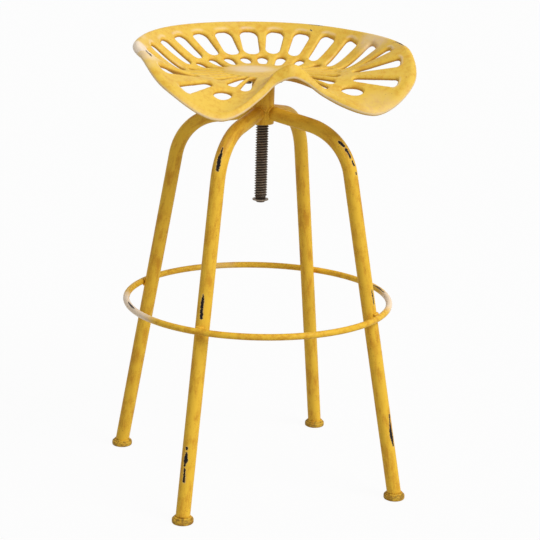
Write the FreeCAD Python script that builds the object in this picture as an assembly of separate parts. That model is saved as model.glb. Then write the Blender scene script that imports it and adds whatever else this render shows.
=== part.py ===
"""Adjustable stool with a cast, slotted tractor seat on a four-leg welded tube frame.

Millimetres. Z is up and the floor is z = 0. The origin is on the screw's axis at the floor.
The sitter faces -Y: the seat's raised pommel stands over the gap between the two front legs.
At rest the seat is screwed all the way down, with its flange on the hub.
"""
import FreeCAD, Part
import math
import os

from FreeCAD import Vector

# Legs: round tube, welded into the hub, bent once and then straight to the floor
LEG_OD = 22.0
LEG_WALL = 1.6
LEG_COUNT = 4
FOOT_CIRCLE_R = 246.0        # where a straight leg's axis would meet the floor
LEG_LEAN = 0.19              # how far the straight part leans in, per unit of height
ARM_SLOPE = 0.19             # how far the top part falls, per unit of radius
ARM_Z = 590.8                # where the top part's axis would meet the hub's axis
BEND_R = 86.6                # radius of the bend, on the tube's axis

# Feet: flat discs under the legs
FOOT_D = 33.0
FOOT_H = 8.0
FOOT_EDGE_R = 2.5

# Foot ring: a round rod bent to a circle, outside the legs
RING_ROD_D = 10.0
RING_Z = 289.7

# Hub: a heavy sleeve with the screw's thread inside
HUB_OD = 35.0
HUB_BOTTOM = 570.0
HUB_TOP = 638.0
HUB_CHAMFER = 1.5

# Screw: the seat's spindle. Its diameter is the thread's outside
SCREW_D = 20.0
SCREW_BOTTOM = 452.0
SCREW_CHAMFER = 2.0
THREAD_CLEARANCE = 0.06      # on the radius, between the screw and the hub
SEATED_GAP = 0.5             # left between the flange and the hub when the seat is down

# Flange: round plate welded on the screw's head, bolted under the seat
FLANGE_D = 64.0
FLANGE_T = 4.0
BORE_CLEARANCE = 0.05        # on the radius, where a rod stands in a plain bore
FLANGE_WELD_LEG = 3.0

# Flange bolts, with spring washers, up into the casting
BOLT_COUNT = 4
BOLT_CIRCLE_R = 25.0
BOLT_D = 6.0
BOLT_DEPTH = 6.0             # how far a bolt goes into the casting
BOLT_HOLE_SPARE = 1.0        # hole left past the bolt's tip
BOLT_HOLE_CLEARANCE = 0.5    # on the radius, in the flange
BOLT_HEAD_AF = 10.0
BOLT_HEAD_H = 4.0
WASHER_OD = 11.8
WASHER_T = 1.6

# Stop: washer and bolt that keep the screw from leaving the hub
STOP_WASHER_OD = 25.0
STOP_WASHER_T = 2.0
STOP_WASHER_PLAY = 0.2       # each side of the washer, so that it turns freely
STOP_BOLT_D = 8.0
STOP_BOLT_DEPTH = 16.0
STOP_HEAD_D = 14.0
STOP_HEAD_H = 3.0
STOP_HOLE_CLEARANCE = 0.3    # on the radius, in the washer

# Weld beads
HUB_BEAD = 2.4               # how far a bead stands off the leg and off the hub
BEAD_SECTOR_GAP = 1.0        # degrees left between neighbouring beads
FOOT_BEAD = 3.2              # how far a bead reaches over the foot and up the leg
FOOT_BEAD_TOE = 0.4          # how far its upper edge stands off the leg
RING_BEAD_R = 4.2

# Seat casting: a thin dished shell with a flat floor
SEAT_T = 6.5
PAD_D = 70.0                 # round pad under the floor, which the flange meets
PAD_T = 2.0
LIP_INSET = 10.0             # the crest lies this far inside the edge
CREST_SLOPE = 1.06           # how steeply the dish still rises at its crest, as a share of its mean

# Edge stations: angle from the front, radius of the edge, height of the crest over the floor,
# and how far the lip turns down from the crest to the edge
POMMEL = dict(angle=0.0, radius=129.0, crest=29.7, lip=17.0)
SHOULDER = dict(angle=10.0, radius=126.5, crest=20.0, lip=15.5)
NOTCH = dict(angle=21.0, radius=142.0, crest=-5.2, lip=11.5)
LOBE = dict(angle=37.3, radius=200.5, crest=-33.2, lip=7.5)
FLANK = dict(angle=57.0, radius=234.0, crest=8.5, lip=5.5)
HIP = dict(angle=75.0, radius=220.5, crest=43.0, lip=3.0)
WAIST = dict(angle=111.0, radius=189.5, crest=51.0, lip=4.5)
CORNER = dict(angle=140.0, radius=175.5, crest=54.5, lip=4.0)
BACK = dict(angle=180.0, radius=168.5, crest=55.5, lip=5.0)

# Flat floor: how far it reaches from the screw's axis
FLOOR_FRONT = 48.0
FLOOR_SIDE = 121.0
FLOOR_BACK = 58.0

# Closed curves round the seat that its faces are lofted through: points on each, and where they
# lie, from 0 at the floor's edge over 1 at the crest to 2 at the lip
RING_POINTS = 40
RING_STATIONS = (0.0, 0.25, 0.5, 0.75, 1.0, 1.5, 2.0)

# Slots: an outer row and, between its ribs, an inner row
SLOT_MARGIN_BACK = 23.5      # from the edge to the outer row, behind the sitter
SLOT_MARGIN_SIDE = 22.0      # the same at the sides
SLOT_PITCH = 45.2            # along the outer row's line
OUTER_SLOTS = 9              # on each side
OUTER_START_R = 99.0         # inner end of the rearmost slots
OUTER_START_R_FRONT = 141.0  # the same of the foremost slots
OUTER_HEAD_HALF = 14.2       # half the width at the outer end of the rearmost slots
OUTER_HEAD_HALF_FRONT = 9.0  # the same of the foremost slots
OUTER_TAIL_HALF = 13.0       # half the width at the inner end of the rearmost slots
OUTER_TAIL_HALF_SIDE = 6.5   # the same from the sides forward
OUTER_CORNER_R = 11.0        # most that a corner is rounded
OUTER_CORNER_SHARE = 0.95    # and never more than this share of the half width
INNER_PITCH = 46.4           # of the inner row, along the same line
INNER_SLOTS = 10             # on each side, besides the one at the back
INNER_START_R = 73.0         # inner end of the rearmost slots
INNER_START_R_SIDE = 61.0    # the same from the sides forward
INNER_END_R = 94.5           # outer end of the rearmost slots
INNER_END_R_SIDE = 118.0     # the same from the sides forward
INNER_TAIL_R = 6.0           # roundings of the two ends, first of the rearmost slots
INNER_TAIL_R_SIDE = 3.0
INNER_HEAD_R = 8.5
INNER_HEAD_R_SIDE = 6.0
EYE_X = 102.0                # oval hole in each front lobe
EYE_Y = -109.0
EYE_LENGTH = 33.0
EYE_WIDTH = 18.0
EYE_SWING = 27.0             # degrees, its outer end swung to the front

# Worked out from the sizes above
FULL_TURN = 360.0
QUARTER_TURN = 90.0
FLANGE_BOTTOM = HUB_TOP + SEATED_GAP
FLANGE_TOP = FLANGE_BOTTOM + FLANGE_T
FLOOR_Z = FLANGE_TOP + PAD_T + SEAT_T
LEG_R = LEG_OD / 2
LEG_LEAN_ANGLE = math.atan(LEG_LEAN)
Z_AXIS = Vector(0, 0, 1)


def leg_axis_r(z):
    """Radius of a straight leg's axis at a height."""
    return FOOT_CIRCLE_R - LEG_LEAN * z


RING_R = leg_axis_r(RING_Z) + LEG_R / math.cos(LEG_LEAN_ANGLE) + RING_ROD_D / 2


def leg_angles():
    """Name and direction of each leg, in degrees from +X."""
    names = ("back_right", "back_left", "front_left", "front_right")
    step = FULL_TURN / LEG_COUNT
    return [(name, step * (index + 0.5)) for index, name in enumerate(names)]


def turned(shape, degrees):
    """A copy turned about the screw's axis."""
    copy = shape.copy()
    copy.rotate(Vector(0, 0, 0), Z_AXIS, degrees)
    return copy


def at_each_leg(solids):
    """Copies of some solids, made for a leg towards +X, at every leg."""
    return [turned(solid, degrees) for name, degrees in leg_angles() for solid in solids]


def cylinder(radius, z0, z1, x=0.0, y=0.0):
    """Upright cylinder between two heights."""
    return Part.makeCylinder(radius, z1 - z0, Vector(x, y, z0))


def leg_corner():
    """Where the axes of a leg's top part and straight part cross, as radius and height."""
    r = (FOOT_CIRCLE_R - LEG_LEAN * ARM_Z) / (1 - LEG_LEAN * ARM_SLOPE)
    return Vector(r, 0, ARM_Z - ARM_SLOPE * r)


def leg_path(z_bottom):
    """Axis of one leg towards +X, from inside the hub to the floor."""
    corner = leg_corner()
    inward = Vector(-1, 0, ARM_SLOPE).normalize()
    down = Vector(LEG_LEAN, 0, -1).normalize()
    half_turn = (math.pi - inward.getAngle(down)) / 2
    setback = BEND_R * math.tan(half_turn)
    arc_top = corner + inward * setback
    arc_end = corner + down * setback
    bisector = (inward + down).normalize()
    arc_mid = corner + bisector * (BEND_R / math.cos(half_turn) - BEND_R)
    start = Vector(0, 0, ARM_Z)
    end = Vector(leg_axis_r(z_bottom), 0, z_bottom)
    edges = [Part.LineSegment(start, arc_top).toShape(),
             Part.Arc(arc_top, arc_mid, arc_end).toShape(),
             Part.LineSegment(arc_end, end).toShape()]
    return Part.Wire(edges)


def leg_bar(radius):
    """Solid bar along the leg's axis, longer than the leg at both ends."""
    path = leg_path(-FOOT_D)
    start = path.Vertexes[0].Point
    direction = Vector(1, 0, -ARM_SLOPE)
    profile = Part.Wire(Part.makeCircle(radius, start, direction))
    return path.makePipeShell([profile], True, False)


def make_leg():
    """Tube with its top end coped to the hub and its bottom end cut level on the foot."""
    tube = leg_bar(LEG_R).cut(leg_bar(LEG_R - LEG_WALL))
    cope = cylinder(HUB_OD / 2, 0, HUB_TOP + LEG_OD)
    reach = FOOT_D * 2
    below = Part.makeBox(reach * 2, reach * 2, reach,
                         Vector(FOOT_CIRCLE_R - reach, -reach, FOOT_H - reach))
    behind = Part.makeBox(HUB_OD, HUB_OD * 2, HUB_TOP * 2, Vector(-HUB_OD, -HUB_OD, 0))
    return tube.cut(cope).cut(below).cut(behind)


def make_foot():
    """Round disc with softened edges, under the leg's end."""
    centre = leg_axis_r(FOOT_H)
    disc = cylinder(FOOT_D / 2, 0, FOOT_H, centre)
    rims = [edge for edge in disc.Edges if len(edge.Vertexes) == 1]
    return disc.makeFillet(FOOT_EDGE_R, rims)


def make_foot_bead():
    """Fillet of weld between the leg's end and its foot."""
    def circle(radius, z):
        return Part.Wire(Part.makeCircle(radius, Vector(leg_axis_r(z), 0, z), Z_AXIS))

    low = circle(LEG_R + FOOT_BEAD, FOOT_H)
    high = circle(LEG_R + FOOT_BEAD_TOE, FOOT_H + FOOT_BEAD)
    return Part.makeLoft([low, high], True, True).cut(leg_bar(LEG_R))


def make_hub_bead():
    """Saddle of weld round one leg's end, on the hub's wall."""
    reach = HUB_OD / 2 + HUB_BEAD
    shell = cylinder(reach, HUB_BOTTOM - LEG_OD, HUB_TOP + LEG_OD)
    shell = shell.cut(cylinder(HUB_OD / 2, HUB_BOTTOM - LEG_OD, HUB_TOP + LEG_OD))
    sector_angle = FULL_TURN / LEG_COUNT - BEAD_SECTOR_GAP
    sector = Part.makeCylinder(reach * 2, HUB_TOP, Vector(0, 0, 0), Z_AXIS, sector_angle)
    sector.rotate(Vector(0, 0, 0), Z_AXIS, -sector_angle / 2)
    collar = leg_bar(LEG_R + HUB_BEAD).cut(leg_bar(LEG_R))
    return collar.common(shell).common(sector)


def make_ring_beads():
    """Two dabs of weld, over and under the ring, where it touches a leg."""
    contact_r = RING_R - RING_ROD_D / 2
    ring = make_ring()
    beads = []
    for side in (-1, 1):
        height = RING_Z + side * (RING_ROD_D / 2)
        leaned_r = contact_r - side * LEG_LEAN * RING_ROD_D / 2
        dab = Part.makeSphere(RING_BEAD_R, Vector(leaned_r, 0, height))
        beads += dab.cut(leg_bar(LEG_R)).cut(ring).Solids
    return beads


def make_ring():
    return Part.makeTorus(RING_R, RING_ROD_D / 2, Vector(0, 0, RING_Z))


def make_hub():
    """Sleeve with chamfered ends and a bore that the screw runs in."""
    hub = cylinder(HUB_OD / 2, HUB_BOTTOM, HUB_TOP)
    hub = hub.cut(cylinder(SCREW_D / 2 + THREAD_CLEARANCE, HUB_BOTTOM, HUB_TOP))
    rims = [edge for edge in hub.Edges if len(edge.Vertexes) == 1]
    return hub.makeChamfer(HUB_CHAMFER, rims)


def make_screw():
    """Spindle with chamfered ends, with a tapped hole in its lower end."""
    screw = cylinder(SCREW_D / 2, SCREW_BOTTOM, FLANGE_TOP)
    bottom_rim = [edge for edge in screw.Edges
                  if len(edge.Vertexes) == 1 and edge.BoundBox.ZMax < FLANGE_BOTTOM]
    screw = screw.makeChamfer(SCREW_CHAMFER, bottom_rim)
    hole_top = SCREW_BOTTOM + STOP_BOLT_DEPTH + BOLT_HOLE_SPARE
    return screw.cut(cylinder(STOP_BOLT_D / 2 + BORE_CLEARANCE, SCREW_BOTTOM, hole_top))


def bolt_centres():
    step = FULL_TURN / BOLT_COUNT
    angles = [math.radians(step * index) for index in range(BOLT_COUNT)]
    return [(BOLT_CIRCLE_R * math.cos(a), BOLT_CIRCLE_R * math.sin(a)) for a in angles]


def weld_cone(spare):
    """Cone of the weld at the screw's head, wider at the top."""
    low_r = SCREW_D / 2 + spare
    return Part.makeCone(low_r, low_r + FLANGE_WELD_LEG, FLANGE_WELD_LEG,
                         Vector(0, 0, FLANGE_TOP - FLANGE_WELD_LEG))


def make_flange():
    """Round plate with a countersunk bore for the welded screw, and four bolt holes."""
    flange = cylinder(FLANGE_D / 2, FLANGE_BOTTOM, FLANGE_TOP)
    flange = flange.cut(cylinder(SCREW_D / 2 + BORE_CLEARANCE, FLANGE_BOTTOM, FLANGE_TOP))
    flange = flange.cut(weld_cone(BORE_CLEARANCE))
    for x, y in bolt_centres():
        flange = flange.cut(cylinder(BOLT_D / 2 + BOLT_HOLE_CLEARANCE, FLANGE_BOTTOM, FLANGE_TOP, x, y))
    return flange


def make_flange_weld():
    """Ring of weld that fills the countersink, flush with the flange."""
    return weld_cone(BORE_CLEARANCE).cut(cylinder(SCREW_D / 2, FLANGE_BOTTOM, FLANGE_TOP))


def hexagon(across_flats, z0, z1, x, y):
    sides = 6
    corner_r = across_flats / 2 / math.cos(math.pi / sides)
    corners = []
    for index in range(sides + 1):
        angle = 2 * math.pi * index / sides
        corners.append(Vector(x + corner_r * math.cos(angle), y + corner_r * math.sin(angle), z0))
    return Part.Face(Part.makePolygon(corners)).extrude(Vector(0, 0, z1 - z0))


def make_flange_bolts():
    head_top = FLANGE_BOTTOM - WASHER_T
    bolts = []
    for x, y in bolt_centres():
        head = hexagon(BOLT_HEAD_AF, head_top - BOLT_HEAD_H, head_top, x, y)
        shank = cylinder(BOLT_D / 2, head_top, FLANGE_TOP + BOLT_DEPTH, x, y)
        bolts.append(head.fuse(shank).removeSplitter())
    return bolts


def make_spring_washers():
    washers = []
    for x, y in bolt_centres():
        disc = cylinder(WASHER_OD / 2, FLANGE_BOTTOM - WASHER_T, FLANGE_BOTTOM, x, y)
        washers.append(disc.cut(cylinder(BOLT_D / 2 + BOLT_HOLE_CLEARANCE,
                                         FLANGE_BOTTOM - WASHER_T, FLANGE_BOTTOM, x, y)))
    return washers


def make_stop_washer():
    top = SCREW_BOTTOM - STOP_WASHER_PLAY
    disc = cylinder(STOP_WASHER_OD / 2, top - STOP_WASHER_T, top)
    return disc.cut(cylinder(STOP_BOLT_D / 2 + STOP_HOLE_CLEARANCE, top - STOP_WASHER_T, top))


def make_stop_bolt():
    head_top = SCREW_BOTTOM - STOP_WASHER_T - 2 * STOP_WASHER_PLAY
    head = cylinder(STOP_HEAD_D / 2, head_top - STOP_HEAD_H, head_top)
    shank = cylinder(STOP_BOLT_D / 2, head_top, SCREW_BOTTOM + STOP_BOLT_DEPTH)
    return head.fuse(shank).removeSplitter()


def smoothstep(share):
    return share * share * (3 - 2 * share)


def dish_rise(share):
    """Height of the dish's wall, level at the floor and still rising at the crest."""
    return smoothstep(share) - CREST_SLOPE * share * share * (1 - share)


def edge_loop():
    """Stations all the way round, mirrored about the middle, with one more turn each way."""
    half = [POMMEL, SHOULDER, NOTCH, LOBE, FLANK, HIP, WAIST, CORNER, BACK]
    mirrored = [dict(station, angle=-station["angle"]) for station in half[1:-1]]
    loop = []
    for turns in (-1, 0, 1):
        loop += [dict(station, angle=station["angle"] + FULL_TURN * turns) for station in half + mirrored]
    return sorted(loop, key=lambda station: station["angle"])


EDGE_LOOP = edge_loop()


def blend_stations(angle, key):
    """Value of one station field at any angle, by smooth cubic pieces through the stations."""
    index = max(i for i, station in enumerate(EDGE_LOOP) if station["angle"] <= angle)
    before, left, right, after = EDGE_LOOP[index - 1:index + 3]

    def slope(a, b):
        return (b[key] - a[key]) / (b["angle"] - a["angle"])

    def tangent(a, b, c):
        first, second = slope(a, b), slope(b, c)
        if first * second <= 0:
            return 0.0
        return 2 * first * second / (first + second)

    span = right["angle"] - left["angle"]
    t = (angle - left["angle"]) / span
    start, end = tangent(before, left, right), tangent(left, right, after)
    rise = smoothstep(t)
    return (left[key] * (1 - rise) + right[key] * rise
            + span * start * t * (1 - t) ** 2 - span * end * t * t * (1 - t))


def floor_reach(angle):
    """Distance from the axis to the flat floor's edge: half ellipses in front and behind."""
    a = math.radians(angle)
    across = math.sin(a) / FLOOR_SIDE
    along = math.cos(a) / (FLOOR_FRONT if math.cos(a) > 0 else FLOOR_BACK)
    return 1 / math.hypot(across, along)


def seat_point(angle, station):
    """Point of the seat's top face. station 0 is the floor's edge, 1 the crest and 2 the lip."""
    a = math.radians(angle)
    edge_r = blend_stations(angle, "radius")
    crest_r = edge_r - LIP_INSET
    crest = blend_stations(angle, "crest")
    lip = blend_stations(angle, "lip")
    if station <= 1:
        floor_r = floor_reach(angle)
        r = floor_r + (crest_r - floor_r) * station
        z = crest * dish_rise(station)
    else:
        past = station - 1
        r = crest_r + LIP_INSET * past
        z = crest - lip * past * past
    return Vector(r * math.sin(a), -r * math.cos(a), FLOOR_Z + z)


def seat_normal(angle, station):
    """Upward normal of the top face, by small steps along it."""
    step = 1e-3
    along = seat_point(angle, station + step) - seat_point(angle, max(station - step, 0))
    around = seat_point(angle + step, station) - seat_point(angle - step, station)
    normal = around.cross(along)
    if normal.z < 0:
        normal = normal * -1
    return normal.normalize()


def seat_ring(station, depth, outward=0.0):
    """Closed curve round the seat, at a depth under its top face."""
    points = []
    for index in range(RING_POINTS):
        angle = FULL_TURN * index / RING_POINTS
        a = math.radians(angle)
        normal = Vector(0, 0, 1) if station == 0 else seat_normal(angle, station)
        point = seat_point(angle, station) - normal * depth
        points.append(point + Vector(math.sin(a), -math.cos(a), 0) * outward)
    curve = Part.BSplineCurve()
    curve.interpolate(points, PeriodicFlag=True)
    return Part.Wire(curve.toShape())


def seat_shell():
    """The dished plate before its slots are cut."""
    top = [seat_ring(station, 0.0) for station in RING_STATIONS]
    bottom = [seat_ring(station, SEAT_T) for station in RING_STATIONS]
    nose = seat_ring(RING_STATIONS[-1], SEAT_T / 2, SEAT_T / 2)
    faces = [Part.Face(top[0]), Part.Face(bottom[0])]
    faces += Part.makeLoft(top, False, False).Faces
    faces += Part.makeLoft(bottom, False, False).Faces
    faces += Part.makeLoft([top[-1], nose, bottom[-1]], False, False).Faces
    shell = Part.makeShell(faces)
    shell.sewShape()
    return Part.makeSolid(shell)


def back_to_side(angle, at_back, at_side):
    """A size that runs from its value behind the sitter to its value at the sides."""
    share = math.sin(math.radians(angle)) ** 2
    return at_back * (1 - share) + at_side * share


def row_line_r(angle):
    """Radius of the line on which the outer slots end."""
    return blend_stations(angle, "radius") - back_to_side(angle, SLOT_MARGIN_BACK, SLOT_MARGIN_SIDE)


def row_angle(distance):
    """Angle from the front, at a distance along the outer row's line from the back."""
    step = 0.25
    angle = 180.0
    while distance > 0 and angle > 0:
        r = row_line_r(angle)
        rise = row_line_r(angle - step) - r
        distance -= math.hypot(r * math.radians(step), rise)
        angle -= step
    return angle


def slot_cutter(angle, edges):
    """Upright cutter from an outline drawn towards +X, turned to its angle from the front."""
    cutter = Part.Face(Part.Wire(edges)).extrude(Vector(0, 0, FLOOR_Z))
    cutter.translate(Vector(0, 0, FLOOR_Z / 2))
    return turned(cutter, angle - QUARTER_TURN)


def on_circle(centre, radius, turn):
    """Point on a circle, at a turn from +X."""
    return centre + Vector(radius * math.cos(turn), radius * math.sin(turn), 0)


def arc(centre, radius, start, end):
    """Arc between two turns."""
    middle = on_circle(centre, radius, (start + end) / 2)
    return Part.Arc(on_circle(centre, radius, start), middle, on_circle(centre, radius, end)).toShape()


def line(start, end):
    """Straight edge between two points."""
    return Part.LineSegment(start, end).toShape()


def teardrop(tail_r, tail_radius, head_r, head_radius):
    """Outline with a round head and a smaller round tail, joined by tangents."""
    head = Vector(head_r - head_radius, 0, 0)
    tail = Vector(tail_r + tail_radius, 0, 0)
    swing = math.acos((tail_radius - head_radius) / (head.x - tail.x))
    sides = [line(on_circle(head, head_radius, turn), on_circle(tail, tail_radius, turn))
             for turn in (swing, -swing)]
    return [arc(head, head_radius, -swing, swing), sides[0],
            arc(tail, tail_radius, swing, 2 * math.pi - swing), sides[1]]


def barrel(tail_r, tail_half, head_r, head_half, corner_r):
    """Outline with a flat head and a narrower flat tail, all four corners rounded alike."""
    head = Vector(head_r - corner_r, head_half - corner_r, 0)
    tail = Vector(tail_r + corner_r, tail_half - corner_r, 0)
    swing = math.atan2(head.x - tail.x, tail.y - head.y)
    half = [arc(head, corner_r, 0, swing),
            line(on_circle(head, corner_r, swing), on_circle(tail, corner_r, swing)),
            arc(tail, corner_r, swing, math.pi)]
    other_half = [edge.mirror(Vector(0, 0, 0), Vector(0, 1, 0)) for edge in reversed(half)]
    tail_end = line(Vector(tail_r, tail.y, 0), Vector(tail_r, -tail.y, 0))
    head_end = line(Vector(head_r, -head.y, 0), Vector(head_r, head.y, 0))
    return half + [tail_end] + other_half + [head_end]


def between(start, end, share):
    """Value at a share of the way from start to end."""
    return start + (end - start) * share


def slot_cutters():
    """Cutters of both rows and of the two eyes."""
    cutters = []
    for index in range(OUTER_SLOTS):
        angle = row_angle(SLOT_PITCH * (index + 0.5))
        forward = index / (OUTER_SLOTS - 1)
        tail_half = between(OUTER_TAIL_HALF, OUTER_TAIL_HALF_SIDE, min(1, 2 * forward))
        head_half = between(OUTER_HEAD_HALF, OUTER_HEAD_HALF_FRONT, forward)
        corner_r = min(OUTER_CORNER_R, OUTER_CORNER_SHARE * tail_half)
        tail_r = between(OUTER_START_R, OUTER_START_R_FRONT, forward)
        outline = barrel(tail_r, tail_half, row_line_r(angle), head_half, corner_r)
        cutters += [slot_cutter(side * angle, outline) for side in (-1, 1)]
    for index in range(INNER_SLOTS + 1):
        angle = row_angle(INNER_PITCH * index)
        behind = max(angle, QUARTER_TURN)
        outline = teardrop(back_to_side(behind, INNER_START_R, INNER_START_R_SIDE),
                           back_to_side(angle, INNER_TAIL_R, INNER_TAIL_R_SIDE),
                           back_to_side(behind, INNER_END_R, INNER_END_R_SIDE),
                           back_to_side(angle, INNER_HEAD_R, INNER_HEAD_R_SIDE))
        cutters += [slot_cutter(side * angle, outline) for side in ((1,) if index == 0 else (-1, 1))]
    for side in (-1, 1):
        cutters.append(eye_cutter(side))
    return cutters


def eye_cutter(side):
    """Upright oval cutter of one front lobe's hole."""
    ellipse = Part.Ellipse(Vector(0, 0, FLOOR_Z / 2), EYE_LENGTH / 2, EYE_WIDTH / 2)
    cutter = Part.Face(Part.Wire(ellipse.toShape())).extrude(Vector(0, 0, FLOOR_Z))
    cutter = turned(cutter, -side * EYE_SWING)
    cutter.translate(Vector(side * EYE_X, EYE_Y, 0))
    return cutter


def make_seat():
    """Dished casting with its slots, and the drilled pad that the flange bolts to."""
    pad = cylinder(PAD_D / 2, FLANGE_TOP, FLANGE_TOP + PAD_T)
    seat = seat_shell().fuse(pad)
    seat = seat.cut(slot_cutters())
    hole_top = FLANGE_TOP + BOLT_DEPTH + BOLT_HOLE_SPARE
    for x, y in bolt_centres():
        seat = seat.cut(cylinder(BOLT_D / 2 + BORE_CLEARANCE, FLANGE_TOP, hole_top, x, y))
    return seat


def save(name, solids):
    """One STEP file per node. Alike pieces share a node as separate solids."""
    shape = solids if isinstance(solids, Part.Shape) else Part.makeCompound(solids)
    assert shape.isValid(), name
    shape.exportStep("parts/" + name + ".step")
    print(name, len(shape.Solids), "solids", round(shape.Volume / 1000, 2), "cm3")


def main():
    os.makedirs("parts", exist_ok=True)
    leg = make_leg()
    foot = make_foot()
    for name, degrees in leg_angles():
        save("leg_" + name, turned(leg, degrees))
        save("foot_" + name, turned(foot, degrees))
    save("foot_ring", make_ring())
    save("hub", make_hub())
    save("hub_welds", at_each_leg([make_hub_bead()]))
    save("foot_welds", at_each_leg([make_foot_bead()]))
    save("ring_welds", at_each_leg(make_ring_beads()))
    save("spindle_screw", make_screw())
    save("spindle_flange", make_flange())
    save("flange_weld", make_flange_weld())
    save("flange_bolts", make_flange_bolts())
    save("spring_washers", make_spring_washers())
    save("stop_washer", make_stop_washer())
    save("stop_bolt", make_stop_bolt())
    save("seat_casting", make_seat())


main()
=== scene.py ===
# %% [markdown]
# # An adjustable stool with a cast tractor seat
#
# The stool stands on four bent tubes that are welded to a heavy sleeve. A threaded rod runs in the
# sleeve and carries a cast iron seat. Everything but the rod and its fasteners is painted mustard
# yellow, and the paint is rubbed pale along the edges and chipped through to dark metal.
#
# The plain solids come from the packed frame. This script dresses them: where a solid's shape is
# already right it only gets a finish, and where the real piece has more to it, such as rounded
# casting edges, weld ripples or a thread, a finer mesh replaces the solid in the same place.

# %% Load the frame
import math

import bpy
import numpy as np
from mathutils import Matrix, Vector


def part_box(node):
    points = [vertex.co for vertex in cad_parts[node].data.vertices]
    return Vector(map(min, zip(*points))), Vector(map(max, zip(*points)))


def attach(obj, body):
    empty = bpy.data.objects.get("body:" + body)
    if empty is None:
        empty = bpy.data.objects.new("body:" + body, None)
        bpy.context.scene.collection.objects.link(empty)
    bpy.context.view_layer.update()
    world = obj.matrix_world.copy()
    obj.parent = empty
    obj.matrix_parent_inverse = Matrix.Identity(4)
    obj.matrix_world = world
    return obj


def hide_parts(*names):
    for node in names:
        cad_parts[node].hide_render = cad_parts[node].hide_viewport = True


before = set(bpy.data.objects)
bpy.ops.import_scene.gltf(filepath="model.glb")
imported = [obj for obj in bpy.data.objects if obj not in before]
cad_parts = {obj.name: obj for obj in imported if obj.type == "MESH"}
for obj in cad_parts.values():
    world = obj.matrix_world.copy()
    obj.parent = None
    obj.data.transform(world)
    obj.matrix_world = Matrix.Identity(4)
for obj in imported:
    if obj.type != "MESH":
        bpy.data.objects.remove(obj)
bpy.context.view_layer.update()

# %% [markdown]
# ## Units
#
# A workshop drawing of a stool is in millimetres, and Blender works in metres. The sizes below are
# the drawing's, so they stay in millimetres until a mesh is made, and one helper turns them over.

# %% Millimetres to metres
MM = 0.001


def in_mm(corner):
    """A corner of a CAD box, in millimetres."""
    return [value / MM for value in corner]


hub_low, hub_high = map(in_mm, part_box("hub"))
ring_low, ring_high = map(in_mm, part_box("foot_ring"))
foot_low, foot_high = map(in_mm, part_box("foot_front_right"))
flange_low, flange_high = map(in_mm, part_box("spindle_flange"))
screw_low, screw_high = map(in_mm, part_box("spindle_screw"))
HUB_R = hub_high[0]
HUB_BOTTOM, HUB_TOP = hub_low[2], hub_high[2]
RING_ROD_R = (ring_high[2] - ring_low[2]) / 2
RING_Z = (ring_high[2] + ring_low[2]) / 2
RING_R = ring_high[0] - RING_ROD_R
FOOT_R = (foot_high[0] - foot_low[0]) / 2
FOOT_H = foot_high[2]
SCREW_R = screw_high[0]
SCREW_BOTTOM = screw_low[2]
FLANGE_R = flange_high[0]
FLANGE_BOTTOM, FLANGE_TOP = flange_low[2], flange_high[2]
print("hub:", [round(size, 1) for size in (HUB_R, HUB_BOTTOM, HUB_TOP)],
      "ring:", [round(size, 1) for size in (RING_R, RING_Z)],
      "screw:", [round(size, 1) for size in (SCREW_R, SCREW_BOTTOM, FLANGE_TOP)])

# %% [markdown]
# ## Meshes from points
#
# Every piece here is a surface that follows a rule: a round bar along a path, a turned profile, a
# thread. Blender could make them from curves and modifiers. Points worked out with numpy give the
# same shapes with exact ends, which matters where a tube meets a sleeve, so that way is used.

# %% A mesh object that rides on a body
def piece(name, body, slot_name, points, faces, replaces):
    """Smooth-shaded mesh from points in millimetres, on a body, in the place of the frame's nodes."""
    mesh = bpy.data.meshes.new(name)
    mesh.from_pydata((np.asarray(points) * MM).tolist(), [], [list(map(int, face)) for face in faces])
    mesh.validate()
    mesh.shade_smooth()
    made = bpy.data.objects.new(name, mesh)
    bpy.context.scene.collection.objects.link(made)
    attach(made, body)
    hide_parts(*replaces)
    return made


def joined(parts):
    """Several (points, faces) pairs as one."""
    points, faces, start = [], [], 0
    for part_points, part_faces in parts:
        points.append(np.asarray(part_points, float))
        faces += [[start + corner for corner in face] for face in part_faces]
        start += len(part_points)
    return np.vstack(points), faces


def turned(part, degrees):
    """A (points, faces) pair turned about the screw's axis."""
    points, faces = part
    a = math.radians(degrees)
    spin = np.array([[math.cos(a), math.sin(a), 0], [-math.sin(a), math.cos(a), 0], [0, 0, 1]])
    return np.asarray(points) @ spin, faces


LEG_ANGLES = {"back_right": 45.0, "back_left": 135.0, "front_left": 225.0, "front_right": 315.0}
print("directions of the legs in degrees:", LEG_ANGLES)

# %% [markdown]
# A skin over a row of rings is the one pattern behind tubes, turned pieces and beads. Each ring has
# the same number of points. The row may close on itself, as a foot ring does, or end in flat caps.

# %% Skin over a row of rings
def full_turn(count):
    """Directions evenly spaced once round, in radians."""
    return 2 * math.pi * np.arange(count) / count


def skin(rings, closed=False, caps=False):
    """Quads between neighbouring rings. Rings run anticlockwise seen against the row's direction."""
    rings = [np.asarray(ring, float) for ring in rings]
    count, around = len(rings), len(rings[0])
    faces = []
    for i in range(count if closed else count - 1):
        a, b = i * around, (i + 1) % count * around
        for j in range(around):
            k = (j + 1) % around
            faces.append((a + j, a + k, b + k, b + j))
    if caps:
        faces.append(tuple(range(around))[::-1])
        faces.append(tuple((count - 1) * around + j for j in range(around)))
    return np.vstack(rings), faces


def lathe(profile, centre=(0.0, 0.0), segments=72):
    """A closed profile of (radius, height) turned about an upright axis, anticlockwise outline."""
    turns = full_turn(segments)
    rings = []
    for r, z in profile:
        rings.append(np.stack([centre[0] + r * np.cos(turns), centre[1] + r * np.sin(turns),
                               np.full(segments, z)], axis=1))
    return skin(rings, closed=True)


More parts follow.
